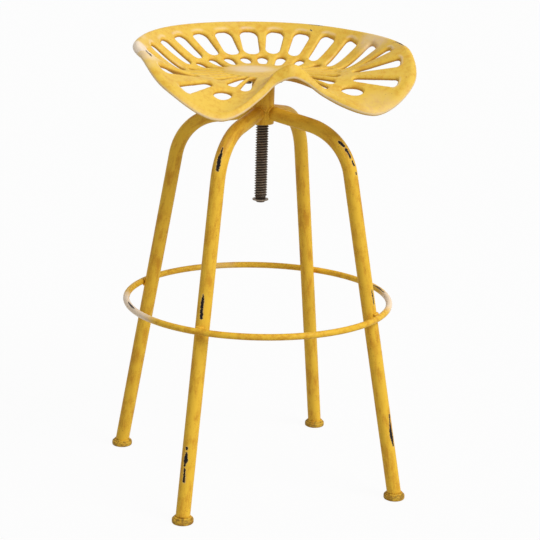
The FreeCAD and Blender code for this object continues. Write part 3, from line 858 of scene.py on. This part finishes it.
# %% Surface nets
def surface_nets(distance, low, step):
    """Points and quads of the surface on which a grid of distances is zero."""
    inside = distance < 0
    shape = np.array(distance.shape) - 1
    corners = [(i, j, k) for i in (0, 1) for j in (0, 1) for k in (0, 1)]

    def shifted(grid, corner):
        """The grid's value at one corner of every cell."""
        return grid[tuple(slice(c, c + n) for c, n in zip(corner, shape))]

    count = sum(shifted(inside, corner).astype(np.int8) for corner in corners)
    crossed = (count > 0) & (count < 8)
    number = np.full(shape, -1)
    number[crossed] = np.arange(crossed.sum())
    values = {corner: shifted(distance, corner)[crossed] for corner in corners}
    total, hits = np.zeros((crossed.sum(), 3)), np.zeros(crossed.sum())
    for corner in corners:
        for axis in range(3):
            if corner[axis]:
                continue
            other = tuple(c + (n == axis) for n, c in enumerate(corner))
            a, b = values[corner], values[other]
            cut = (a < 0) != (b < 0)
            point = np.tile(np.array(corner, float), (cut.sum(), 1))
            point[:, axis] += a[cut] / (a[cut] - b[cut])
            total[cut] += point
            hits[cut] += 1
    points = np.array(low) + step * (np.argwhere(crossed) + total / hits[:, None])
    faces = []
    for axis in range(3):
        u, v = (axis + 1) % 3, (axis + 2) % 3
        here = [slice(None)] * 3
        ahead = [slice(None)] * 3
        here[axis], ahead[axis] = slice(0, -1), slice(1, None)
        a, b = inside[tuple(here)], inside[tuple(ahead)]
        for flip, where in ((False, a & ~b), (True, ~a & b)):
            at = np.argwhere(where)
            quad = []
            for du, dv in ((-1, -1), (0, -1), (0, 0), (-1, 0)):
                cell = at.copy()
                cell[:, u] += du
                cell[:, v] += dv
                quad.append(number[tuple(cell.T)])
            faces.append(np.stack(quad[::-1] if flip else quad, axis=1))
    return points, np.vstack(faces)


cells = np.arange(-3.0, 4.0)
ball_size = np.sqrt(sum(grid ** 2 for grid in np.meshgrid(cells, cells, cells)))
print("a ball of radius 2.2 cells gets", len(surface_nets(ball_size - 2.2, (0, 0, 0), 1.0)[1]), "quads")

# Under the floor a round pad meets the flange, so that the seat sits level on its bolts. A Boolean
# union could add it. As a distance it joins in like the rest: the nearer of two shapes wins.

# %% The casting's mesh
GRID_STEP = 1.3
PAD_EDGE, PAD_SEAM = 1.0, 0.1
PAD_COVER = 3.0
grid_x = np.arange(-220, 220.01, GRID_STEP)
grid_y = np.arange(-166, 180.01, GRID_STEP)
grid_z = np.arange(600, 712, GRID_STEP)
GX, GY = np.meshgrid(grid_x, grid_y, indexing="ij")
on_grid = {key: sample(value, GX, GY)[:, :, None].astype(np.float32) for key, value in MAPS.items()}
distance = casting_distance(on_grid, grid_z.astype(np.float32)[None, None, :])
pad_side = np.hypot(GX, GY)[:, :, None] - PAD_R
pad = soft_corner(soft_corner(pad_side, (FLANGE_TOP - grid_z)[None, None, :], PAD_EDGE),
                  (grid_z - FLOOR_Z + PAD_COVER)[None, None, :], PAD_SEAM)
distance = np.minimum(distance, pad)
seat_points, seat_faces = surface_nets(distance, (grid_x[0], grid_y[0], grid_z[0]), GRID_STEP)
seat_piece = piece("seat_dish", "seat", "mustard_seat_paint", seat_points, seat_faces.tolist(),
                   replaces=["seat_casting"])
print("seat:", len(seat_points), "points from", seat_points.min(axis=0).round(1),
      "to", seat_points.max(axis=0).round(1))

# %% [markdown]
# Wear follows shape. Paint goes thin where hands and trousers rub: on the rim, and on the shoulder
# above each slot, where the pale marks are partly painted highlight on the rounded edges. Dirt stays
# where nothing rubs, on the walls of the slots and underneath, and painted shade darkens them too.
# The distance maps know these places, so they are stored on the mesh as attributes for the paint.

# %% Wear, highlight and shade attributes of the seat
def store(made, name, values):
    """Keeps a number, or a triple of them, for each point of a mesh."""
    values = np.asarray(values, np.float32)
    kind, field = ("FLOAT_VECTOR", "vector") if values.ndim == 2 else ("FLOAT", "value")
    made.data.attributes.new(name, kind, "POINT").data.foreach_set(field, values.ravel())


def rising(value, low, high):
    """0 below low, 1 above high and smooth between."""
    return smooth(np.clip((value - low) / (high - low), 0, 1))


at = {key: sample(value, seat_points[:, 0], seat_points[:, 1]) for key, value in MAPS.items()}
top_depth = (at["top"] - seat_points[:, 2]) * at["top_c"]
rim_depth = -(at["rim"] + seat_points[:, 2] * at["rim_z"] - EDGE_OUT)
point_r = np.hypot(seat_points[:, 0], seat_points[:, 1])
point_angle = np.degrees(np.arctan2(seat_points[:, 0], -seat_points[:, 1]))
upward = 1 - rising(top_depth, 0.35, 2.6)
past_row = point_r - row_r(point_angle)
behind_row = rising(past_row, -5, 3) * (1 - rising(past_row, 5, 13))
# The shoulder and rim masks mark pale wear together with painted highlights on the rounded edges.
store(seat_piece, "shoulder", upward * behind_row * (1 - rising(at["slot"], 1.5, 8.5)))
store(seat_piece, "rim", (1 - rising(rim_depth, 0.5, 6)) * (1 - rising(top_depth, 1.0, 4.0)))
# The wall mask marks soiling and painted shade in the slots and underneath.
store(seat_piece, "wall", rising(top_depth, 1.2, 4.5))
print("seat attributes:", [a.name for a in seat_piece.data.attributes if a.name[0] != "."])

# %% [markdown]
# A painter's brush follows the tube round its bend, and so do its streaks. A place in plain space
# would turn them into bands across the level part of a leg. So each leg also carries a place as if
# the tube were laid out straight: across it in two directions, and the length along it.

# %% A leg laid out straight
LEGS_APART = 2000
leg_axis = leg_path()[0]
travelled = np.concatenate([[0], np.cumsum(np.linalg.norm(np.diff(leg_axis, axis=0), axis=1))])
leg_turns = full_turn(LEG_SIDES)
round_leg = np.stack([np.cos(leg_turns), np.sin(leg_turns)], axis=1) * LEG_R
for number, made in enumerate(leg_pieces.values()):
    lengths = np.concatenate([travelled, travelled[::-1]]) + LEGS_APART * number
    store(made, "laid_out", [(*spot * MM, length * MM) for length in lengths for spot in round_leg])
print("leg's length:", round(travelled[-1]), "mm")

# %% [markdown]
# ## Shader sums
#
# A procedural finish is mostly arithmetic: a noise here, less of it there. Wiring Math nodes by
# hand hides that. One small class wraps an output socket, so that Python's own signs add the
# nodes, and one method of the tree makes every other kind of node.

# %% A socket that takes part in sums
class Value:
    """An output socket of a node tree. Sums on it add Math nodes."""

    def __init__(self, wiring, socket):
        self.wiring, self.socket = wiring, socket

    def math(self, operation, *others):
        """A Math node with this socket first."""
        return self.wiring.node("ShaderNodeMath", {"operation": operation}, dict(enumerate((self, *others))))

    def reflected(self, operation, other):
        """A Math node with this socket second, as in 1 - value."""
        return self.wiring.node("ShaderNodeMath", {"operation": operation}, {0: other, 1: self})

    def __add__(self, other):
        return self.math("ADD", other)

    def __sub__(self, other):
        return self.math("SUBTRACT", other)

    def __rsub__(self, other):
        return self.reflected("SUBTRACT", other)

    def __mul__(self, other):
        return self.math("MULTIPLY", other)

    __radd__ = __add__

    def highest(self, other):
        return self.math("MAXIMUM", other)

    def lowest(self, other):
        return self.math("MINIMUM", other)

    def step(self, low, high):
        """0 below low, 1 above high and smooth between. It falls instead when low is above high."""
        risen = self.wiring.node("ShaderNodeMapRange", {"interpolation_type": "SMOOTHSTEP"},
                                 {"Value": self, "From Min": min(low, high), "From Max": max(low, high)})
        return 1 - risen if low > high else risen


print("a socket can do:", [name for name, does in vars(Value).items() if callable(does)])

# %% [markdown]
# The tree itself needs little more: a node with its settings, a link or a value into a socket, and
# short names for the noise and the vector sums that nearly every finish here uses.

# %% A node tree, and a material made with it
class Wiring:
    """A node tree while it is being wired."""

    def __init__(self, tree):
        self.tree = tree

    def node(self, kind, settings=None, sockets=None, output=0):
        """Makes a node: its settings first, then the values or links of its sockets."""
        made = self.tree.nodes.new(kind)
        for key, value in (settings or {}).items():
            setattr(made, key, value)
        for key, value in (sockets or {}).items():
            self.feed(made.inputs[key], value)
        return Value(self, made.outputs[output])

    def feed(self, socket, value):
        """Links another node's output to an input, or sets the input to a plain value."""
        if isinstance(value, Value):
            self.tree.links.new(value.socket, socket)
        else:
            socket.default_value = value

    def vector(self, operation, *inputs, output="Vector"):
        """A Vector Math node."""
        return self.node("ShaderNodeVectorMath", {"operation": operation}, dict(enumerate(inputs)), output)


class Finish(Wiring):
    """A material with one Principled shader, whose even values are given by name."""

    def __init__(self, name, **constants):
        self.material = bpy.data.materials.new(name)
        self.material.use_nodes = True
        super().__init__(self.material.node_tree)
        self.shader = self.tree.nodes["Principled BSDF"]
        for socket, value in constants.items():
            self.shader.inputs[socket.replace("_", " ")].default_value = value
        self.place = self.node("ShaderNodeTexCoord", output="Object")

    def noise(self, scale, detail=3.0, roughness=0.55, stretch=(1, 1, 1), place=None, colour=False):
        """Noise at a number of lumps per metre, stretched along the axes."""
        spot = self.vector("MULTIPLY", place or self.place, stretch)
        return self.node("ShaderNodeTexNoise", None, {"Vector": spot, "Scale": scale, "Detail": detail,
                         "Roughness": roughness}, "Color" if colour else "Fac")

    def mix(self, a, b, factor):
        """Colour a where factor is 0 and colour b where it is 1."""
        return self.node("ShaderNodeMix", {"data_type": "RGBA"}, {0: factor, 6: a, 7: b}, 2)

    def attribute(self, name, output="Fac"):
        """A number, or with output Vector a place, that is stored on the mesh."""
        return self.node("ShaderNodeAttribute", {"attribute_name": name}, None, output)

    def bump(self, height, distance):
        """Height of 0 to 1 pressed into the surface, at a depth in metres."""
        normal = self.node("ShaderNodeBump", None, {"Height": height, "Distance": distance, "Strength": 1.0})
        self.feed(self.shader.inputs["Normal"], normal)

    def finish(self, colour, roughness):
        """Feeds the shader, and gives back the material."""
        self.feed(self.shader.inputs["Base Color"], colour)
        self.feed(self.shader.inputs["Roughness"], roughness)
        return self.material


def srgb(r, g, b):
    """A colour as a colour picker gives it, turned into the light that a shader works with."""
    shares = r / 255, g / 255, b / 255
    return (*[(c / 12.92 if c <= 0.04045 else ((c + 0.055) / 1.055) ** 2.4) for c in shares], 1)


print("half grey as light:", round(srgb(128, 128, 128)[0], 3))

# %% [markdown]
# ## Scars in the paint
#
# The large scars on this stool sit where it has been knocked: long ragged ones down the legs, a
# scrape on the ring, nicks on the seat's rim. Painting them on a picture is usual. As there are
# only a few, each is a short route in space with a width at each point, and the paint is off
# wherever the surface is nearer to the route than that. Noise pushes the surface's place about
# first, which scallops the edge.

# %% Scars as routes in space
LEG_SCARS = {  # points in millimetres, each with half the width there
    "front_left": [
        [(-96.6, -98.3, 555, 1.1), (-100.5, -103.3, 547, 1.9), (-104.6, -106.7, 539, 3.0),
         (-108.4, -111.7, 525, 2.6)],
        [(-134.8, -136.5, 343, 0.9), (-136.2, -137.6, 334, 2.5), (-138.1, -139.5, 320, 2.2),
         (-138.9, -141.3, 309, 2.6)],
        [(-166.2, -166.6, 116, 2.3), (-166.3, -166.8, 114.5, 2.1)],
        [(-166.9, -167.7, 108.5, 1.6), (-168.4, -169.2, 98, 3.3), (-170.1, -169.6, 90, 1.7)],
        [(-170.7, -170.9, 84.5, 1.8), (-171.2, -172.2, 76, 1.6), (-172.2, -173.7, 66, 2.2)]],
    "front_right": [
        [(88.6, -99.0, 556.4, 2.1), (93.6, -102.4, 551.0, 2.5)],
        [(97.5, -105.2, 545, 2.6), (100.6, -107.7, 539.5, 1.4), (102.9, -109.5, 534, 2.0)],
        [(105.6, -111.2, 528.5, 1.4), (108.1, -112.8, 522.5, 1.9)],
        [(111.3, -115.0, 511, 1.6), (111.8, -115.3, 509, 1.6)],
        [(134.7, -139.1, 332, 0.9), (136.6, -140.6, 320, 1.5), (138.2, -141.9, 310, 0.9)],
        [(162.6, -164.6, 136, 1.8), (163.0, -167.0, 126, 1.2), (163.4, -168.3, 116, 2.5),
         (165.0, -170.0, 103, 3.3), (168.4, -171.6, 87, 1.5)]],
    "back_right": [[(150.0, 131.0, 300, 1.4), (152.5, 134.0, 284, 2.4)]],
    "back_left": [[(-128.0, 149.5, 270, 2.4), (-131.0, 151.5, 246, 1.6)]]}
RING_SCARS = [
    [(203.7, 17.0, 294.2, 0.6), (205.0, -2.7, 294.6, 1.7), (202.8, -32.2, 294.7, 1.0)],
    [(18.1, -204.5, 295.1, 0.5), (33.0, -203.6, 295.1, 1.0), (46.4, -202.2, 294.9, 0.5)],
    [(-207.5, 16.0, 294.6, 0.8), (-208.4, -4.0, 294.4, 1.7), (-208.1, -22.4, 294.0, 0.9)],
    [(-60.0, 203.5, 293.0, 0.6), (-71.0, 200.3, 292.8, 1.5), (-82.0, 196.0, 292.5, 0.8)]]
SEAT_SCARS = [
    [(-193.0, -24.0, 690.3, 1.0), (-196.5, -42.0, 690.5, 3.3), (-198.0, -56.0, 690.2, 3.3),
     (-197.6, -66.0, 687.8, 1.2)],
    [(118.0, 119.5, 704.7, 0.5), (128.9, 111.8, 704.6, 1.3), (137.5, 103.0, 704.0, 0.5)],
    [(204.0, -30.0, 695.8, 0.7), (206.2, -43.0, 694.9, 1.7), (206.2, -58.0, 693.2, 0.7)],
    [(116.3, 107.4, 697.7, 1.5), (117.2, 105.0, 696.7, 1.2)],
    [(13.5, -114.5, 676.5, 0.5), (18.0, -116.5, 671.9, 0.8), (22.5, -116.0, 667.3, 0.4)],
    [(-64.0, 162.0, 704.5, 0.8), (-70.0, 159.5, 704.5, 1.5)]]


def scar_distance(finish, place, scars):
    """Distance in metres to the nearest scar's edge, negative inside a scar."""
    nearest = finish.vector("LENGTH", place, output="Value") + 1.0
    for route in scars:
        for (*start, start_half), (*end, end_half) in zip(route, route[1:]):
            start, line = Vector(start) * MM, (Vector(end) - Vector(start)) * MM
            away = finish.vector("SUBTRACT", place, start)
            along = finish.vector("DOT_PRODUCT", away, line / line.length_squared, output="Value")
            along = along.highest(0.0).lowest(1.0)
            foot = finish.vector("MULTIPLY_ADD", line, along, start)
            half = along * ((end_half - start_half) * MM) + start_half * MM
            gap = finish.vector("DISTANCE", place, foot, output="Value") - half
            nearest = nearest.lowest(gap)
    return nearest


print("scars:", sum(map(len, LEG_SCARS.values())), "on the legs,", len(RING_SCARS), "on the ring,",
      len(SEAT_SCARS), "on the seat")

# %% [markdown]
# ## Rubbed patches and painted highlights
#
# In some places the yellow is rubbed so thin that a pale pinkish ground shows: on the seat's left
# and right rim, in the middle of its floor and on the two ends of the foot ring. On the seat's right
# lobe and on the front-left arm a patch also paints a soft highlight. Each is a ball in space that
# fades outward, and noise breaks it up.

# %% Rubbed patches and painted highlights as balls in space
FRAME_RUBS_AND_HIGHLIGHTS = [  # centre and radius in millimetres, and how strong
    ((-207.0, 0.0, 290.0), 112.0, 1.05), ((195.0, -75.0, 292.0), 85.0, 0.85),
    # The ball on the front-left arm, second on the line below, paints a soft highlight as well.
    ((0.0, 208.0, 290.0), 60.0, 0.35), ((-92.0, -94.0, 566.0), 26.0, 0.2),
    ((95.0, 97.0, 566.0), 24.0, 0.3)]
SEAT_RUBS_AND_HIGHLIGHTS = [
    ((-206.0, -18.0, 696.0), 54.0, 1.2), ((-204.0, -62.0, 688.0), 34.0, 0.55),
    ((-186.0, 55.0, 700.0), 30.0, 0.4), ((186.0, 12.0, 694.0), 50.0, 0.5),
    ((-12.0, 24.0, 651.0), 62.0, 0.62), ((-206.0, -82.0, 672.0), 26.0, 0.4),
    # The last ball, on the right lobe, paints a soft highlight over thin paint.
    ((0.0, 170.0, 704.0), 40.0, 0.25), ((128.0, -152.0, 622.0), 56.0, 0.32)]
PATCH_CORE = 0.25


def rub_and_highlight_mask(finish, rubs_and_highlights):
    """The strongest pale patch at each place. A patch, of wear and in a few places painted highlight, is full
    inside its core and fades to its radius.
    """
    most = None
    for centre, radius, strength in rubs_and_highlights:
        away = finish.vector("DISTANCE", finish.place, Vector(centre) * MM, output="Value")
        mask = away.step(radius * MM, radius * PATCH_CORE * MM) * strength
        most = mask if most is None else most.highest(mask)
    return most


print("rubs:", len(FRAME_RUBS_AND_HIGHLIGHTS), "on the frame,", len(SEAT_RUBS_AND_HIGHLIGHTS), "on the seat")

# %% [markdown]
# ## Mustard paint
#
# The paint is a mustard yellow, brushed on by hand and rubbed back. Up close it has long brush
# streaks, patches of deeper gold, small rust-brown dots where it has pinholes, and brown dirt in
# the corners, darkened further with painted shade. Some pale places carry painted highlights. A
# photographed texture would repeat, and would need the tubes unwrapped. Layers of noise never
# repeat. One recipe serves the frame and the seat.

# %% Mustard paint
TUBE_YELLOW, TUBE_GOLD = srgb(238, 190, 58), srgb(204, 142, 36)
SEAT_YELLOW, SEAT_GOLD = srgb(236, 195, 75), srgb(222, 168, 52)
# The last of these browns serves both as dust and as painted shade on the frame.
BROWN, TAN, DUST_AND_SHADE = srgb(146, 92, 32), srgb(188, 124, 38), srgb(112, 86, 46)
# The pale ground also paints highlights on the seat.
GROUND_AND_HIGHLIGHT = srgb(250, 230, 206)
SCAR_BLACK, SCAR_BROWN = srgb(20, 17, 20), srgb(66, 44, 34)
SCALLOP = 0.0064  # metres by which the noise may shift a scar's edge


def mustard(name, yellow, gold, dirt_and_shade, scars, rubs_and_highlights, worn_and_highlight, dirty_and_shaded, streak, grain, shine, laid_out=None):
    """Distressed paint, with painted highlights and shade. Two functions give its masks of 0 to 1: pale wear
    with painted highlight, and soiling with painted shade.
    """
    paint = Finish(name, Specular_IOR_Level=shine)
    ragged = paint.noise(430.0, 5.0, 0.72, colour=True)
    shove = paint.vector("SUBTRACT", ragged, (0.5, 0.5, 0.5))
    shove = paint.vector("MULTIPLY", shove, (SCALLOP, SCALLOP, SCALLOP))
    gap = scar_distance(paint, paint.vector("ADD", paint.place, shove), scars)
    bare = gap.step(0.00015, -0.00025)
    lifted = gap.step(0.0011, 0.0002)
    streaks = paint.noise(150.0, 4.0, 0.6, streak, laid_out and paint.attribute(laid_out, "Vector"))
    patches = paint.noise(34.0, 4.0, 0.6)
    fine = paint.noise(420.0, 4.0, 0.7)
    dots = paint.noise(260.0, 2.0, 0.5)
    deep = (streaks * 0.6 + patches * 0.4 + (fine - 0.5) * 0.25).step(0.43, 0.66)
    rubbed_and_highlight = rub_and_highlight_mask(paint, rubs_and_highlights).highest(worn_and_highlight(paint))
    # Pale paint, with painted highlights where the seat's masks and patches put them.
    thin_and_highlight = (rubbed_and_highlight * (0.35 + streaks * 0.75 + fine * 0.55)).step(0.12, 0.95)
    # Soiling together with painted shade, from the corner, slot-wall and under-seat masks.
    grime_and_shade = (dirty_and_shaded(paint) * (0.45 + patches * 0.6 + fine * 0.5)).step(0.15, 1.05)
    colour = paint.mix(yellow, gold, deep * 0.85)
    colour = paint.mix(colour, dirt_and_shade, grime_and_shade * 0.7)
    colour = paint.mix(colour, BROWN, dots.step(0.69, 0.76) * 0.5)
    colour = paint.mix(colour, GROUND_AND_HIGHLIGHT, thin_and_highlight * 0.88)
    colour = paint.mix(colour, GROUND_AND_HIGHLIGHT, (lifted - bare).highest(0.0) * 0.22)
    colour = paint.mix(colour, paint.mix(SCAR_BLACK, SCAR_BROWN, fine.step(0.5, 0.72) * 0.7), bare)
    roughness = 0.48 - thin_and_highlight * 0.06 + grime_and_shade * 0.15 + bare * 0.1 + (fine - 0.5) * 0.14
    paint.bump((1 - bare) * 0.55 + streaks * 0.10 + fine * grain, 0.0006)
    return paint.finish(colour, roughness)


print("yellow of the tubes as light:", [round(part, 2) for part in TUBE_YELLOW[:3]])

# %% [markdown]
# Only the places of wear and dirt differ, with the painted light that goes with them. On the frame
# both come from how sharply the mesh turns: outward edges rub pale, and inward corners keep their
# dirt and get painted shade. The frame's paint is also darker towards the floor round the feet, and
# a painted shadow darkens it under the seat. On the seat they come from the stored attributes,
# which add painted highlights on the edges and painted shade in the slots. A material with many
# scars grows large, so each leg and the ring has its own with its own scars, and the fittings have
# one without any.

# %% Paint for each leg, the ring, the fittings and the seat
def turn_of_mesh(paint):
    """How sharply the mesh turns outward: 0.5 on an even surface, more on an edge."""
    return paint.node("ShaderNodeNewGeometry", None, None, "Pointiness")


def frame_wear(paint):
    """Paint wears pale on outward edges: the beads, the feet, the sleeve."""
    return turn_of_mesh(paint).step(0.53, 0.64) * 0.35


def frame_dirt_and_shade(paint):
    """Soiling and painted shade in the inward corners, darker spotted paint towards the floor round the feet,
    and a painted shadow under the seat.
    """
    height = paint.node("ShaderNodeSeparateXYZ", None, {0: paint.place}, "Z")
    feet = height.step((FOOT_H + 7) * MM, (FOOT_H + 0.5) * MM)
    spots = paint.noise(190.0, 3.0, 0.6, (1, 1, 1.6)).step(0.48, 0.62)
    # Painted shadow of the seat on the arms and the sleeve.
    seat_shadow = height.step((HUB_BOTTOM - 60) * MM, HUB_BOTTOM * MM)
    # Inward corners get soiling and painted shade.
    corners = turn_of_mesh(paint).step(0.47, 0.40) * 0.5
    return corners.highest(feet * (spots * 0.6 + 0.6)).highest(seat_shadow * 0.2)


def seat_wear_and_highlight(paint):
    """Pale wear with a painted highlight on the shoulders above the slots and on the rim."""
    return (paint.attribute("shoulder") * 0.5).highest(paint.attribute("rim") * 0.6)


def seat_dirt_and_shade(paint):
    """Soiling and painted shade on the walls of the slots and underneath."""
    return paint.attribute("wall")


def frame_paint(name, scars, streak=(1, 1, 0.22), laid_out=None):
    """Mustard paint in the frame's colours, with its wear, its soiling and its painted shade."""
    return mustard(name, TUBE_YELLOW, TUBE_GOLD, DUST_AND_SHADE, scars, FRAME_RUBS_AND_HIGHLIGHTS, frame_wear, frame_dirt_and_shade, streak,
                   grain=0.06, shine=0.16, laid_out=laid_out)


leg_paints = {where: frame_paint("mustard paint, " + where.replace("_", " ") + " leg", scars,
                                 laid_out="laid_out")
              for where, scars in LEG_SCARS.items()}
ring_paint = frame_paint("mustard paint on the foot ring", RING_SCARS, streak=(0.7, 0.7, 1))
plain_paint = frame_paint("mustard paint on the fittings", [])
seat_paint = mustard("mustard paint on cast iron", SEAT_YELLOW, SEAT_GOLD, TAN, SEAT_SCARS, SEAT_RUBS_AND_HIGHLIGHTS,
                     seat_wear_and_highlight, seat_dirt_and_shade, streak=(0.8, 0.8, 0.8), grain=0.16, shine=0.28)
print("paints:", [paint.name for paint in (*leg_paints.values(), ring_paint, plain_paint, seat_paint)])

# %% [markdown]
# ## Dark steel
#
# The screw was never painted. It is dark, oily and a little rusty, and its thread's crests are
# rubbed brighter by the sleeve. A mask painted by hand would have to follow the thread. How far a
# spot is from the screw's axis tells crest from root on its own, so that is used.

# %% Steels
def dark_steel():
    """Rusty and oiled, with the thread's crests scoured bright."""
    steel = Finish("oiled dark steel", Metallic=0.6)
    radius = steel.vector("LENGTH", steel.vector("MULTIPLY", steel.place, (1, 1, 0)), output="Value")
    rust = steel.noise(160.0, 5.0, 0.7)
    crests = radius.step((SCREW_R - 0.9) * MM, (SCREW_R - 0.1) * MM)
    colour = steel.mix(srgb(72, 61, 51), srgb(108, 84, 60), rust.step(0.45, 0.7))
    colour = steel.mix(colour, srgb(166, 152, 134), crests * (0.35 + rust * 0.5))
    steel.bump(rust, 0.0003)
    return steel.finish(colour, 0.62 - crests * 0.2 + (rust - 0.5) * 0.2)


def bolt_steel():
    """Plain and dull, with brown stains."""
    steel = Finish("dull bolt steel", Metallic=0.85)
    stain = steel.noise(240.0, 4.0, 0.65)
    colour = steel.mix(srgb(128, 122, 114), srgb(84, 72, 60), stain.step(0.42, 0.68))
    steel.bump(stain, 0.0001)
    return steel.finish(colour, 0.38 + stain * 0.25)


screw_steel = dark_steel()
fastener_steel = bolt_steel()
print("steels:", screw_steel.name, "and", fastener_steel.name)

# %% [markdown]
# The stool was welded up before it was painted, so the paint runs over the beads and the feet, and
# the flange is painted too. Only the screw with its weld, its stop and the bolts are bare. A piece
# could hold several slots, but each piece here was painted or left bare as a whole, so one finish
# goes on each.

# %% Finishes go on the pieces
def coat(pieces, material):
    """Gives pieces one material, in the place of any they had."""
    for made in pieces:
        made.data.materials.clear()
        made.data.materials.append(material)
    print(material.name, "on", len(pieces), "of the pieces")


for where, paint in leg_paints.items():
    coat([leg_pieces[where]], paint)
coat([ring_piece], ring_paint)
coat([*foot_pieces.values(), hub_piece, hub_bead_piece, foot_bead_piece, ring_bead_piece, flange_piece],
     plain_paint)
coat([seat_piece], seat_paint)
coat([screw_piece, washer_piece, stop_piece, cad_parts["flange_weld"]], screw_steel)
coat([bolt_piece, spring_piece], fastener_steel)

# %% [markdown]
# ## Camera
#
# The picture was taken from a little above the seat, from the front and a little to its left, with
# a long lens from well back, which keeps the legs from spreading. The camera's place is given with
# its right, down and forward directions, the way a surveyor would write them. Rotation angles
# would do too, but these three can be checked against the picture one by one.

# %% Camera
RIGHT = Vector((0.94076, -0.33802, 0.02673))
DOWN = Vector((-0.06326, -0.25241, -0.96555))
FORWARD = Vector((0.33312, 0.90666, -0.25884))
CAMERA_PLACE = (-0.9195, -2.5549, 1.0644)
lens = bpy.data.cameras.new("long lens")
lens.lens = 119.11
lens.sensor_width = 36.0
lens.clip_end = 60.0
camera = bpy.data.objects.new("camera", lens)
bpy.context.scene.collection.objects.link(camera)
turn = Matrix((RIGHT, -DOWN, -FORWARD)).transposed().to_4x4()
camera.matrix_world = Matrix.Translation(CAMERA_PLACE) @ turn
bpy.context.scene.camera = camera
print("camera at", [round(value, 3) for value in camera.location])

# %% [markdown]
# ## Studio
#
# A product picture on white needs a background that is white and light that is not too strong,
# and more light would burn out the yellow. So the floor and the sky look white only to the rays
# that are seen: straight from the camera, or in a reflection. To the light itself the floor is
# a plain pale one, and it still takes the stool's soft shadow.

# %% Floor
def seen(wiring):
    """1 for the rays of the picture and of reflections, 0 for the rays that light things."""
    camera_ray, glossy, through = (wiring.node("ShaderNodeLightPath", output=ray) for ray in (
        "Is Camera Ray", "Is Glossy Ray", "Is Transmission Ray"))
    return camera_ray.highest(glossy).highest(through)


def stage_floor(size=30.0, glow=0.95, grey=0.62):
    """A wide floor that looks white, and takes and gives light like a plain grey one."""
    mesh = bpy.data.meshes.new("studio floor")
    corners = [(x * size, y * size, 0) for x, y in ((-1, -1), (1, -1), (1, 1), (-1, 1))]
    mesh.from_pydata(corners, [], [(0, 1, 2, 3)])
    made = bpy.data.objects.new("studio floor", mesh)
    bpy.context.scene.collection.objects.link(made)
    white = Finish("white studio floor", Roughness=0.9, Base_Color=(grey, grey, grey, 1))
    white_glow = white.node("ShaderNodeEmission", None, {"Color": (1, 1, 1, 1), "Strength": 1.0}, "Emission")
    plain = Value(white, white.shader.outputs["BSDF"])
    both = white.node("ShaderNodeMixShader", None, {0: seen(white) * glow, 1: plain, 2: white_glow})
    white.feed(white.tree.nodes["Material Output"].inputs["Surface"], both)
    mesh.materials.append(white.material)
    return made


floor = stage_floor()
print("floor:", tuple(floor.dimensions))

# %% [markdown]
# One large soft light stands to the right of the camera and shapes the tubes: bright on their right
# side, deep gold on their left. Area lamps would do this too, but they are stronger near by. A sun
# with a wide disc is as strong on the feet as on the seat. The even glow of the sky fills the rest.

# %% Lights
def sky(strength):
    """Even light from all round. It looks white, whatever its strength."""
    world = bpy.data.worlds.new("studio glow")
    world.use_nodes = True
    bpy.context.scene.world = world
    glow = Wiring(world.node_tree)
    background = world.node_tree.nodes["Background"]
    background.inputs["Color"].default_value = (1, 1, 1, 1)
    glow.feed(background.inputs["Strength"], seen(glow) * (1 - strength) + strength)


def soft_sun(name, strength, azimuth, elevation, spread):
    """A large soft light from a direction in degrees. Azimuth 0 is in front of the sitter."""
    lamp = bpy.data.lights.new(name, "SUN")
    lamp.energy = strength
    lamp.angle = math.radians(spread)
    made = bpy.data.objects.new(name, lamp)
    bpy.context.scene.collection.objects.link(made)
    a, e = math.radians(azimuth), math.radians(elevation)
    towards = Vector((math.sin(a) * math.cos(e), -math.cos(a) * math.cos(e), math.sin(e)))
    made.rotation_euler = towards.to_track_quat("Z", "Y").to_euler()
    return made


sky(0.38)
key_light = soft_sun("key light", 2.25, azimuth=34, elevation=43, spread=35)
bpy.context.scene.view_settings.view_transform = "Standard"
print("light:", key_light.name, key_light.data.energy)
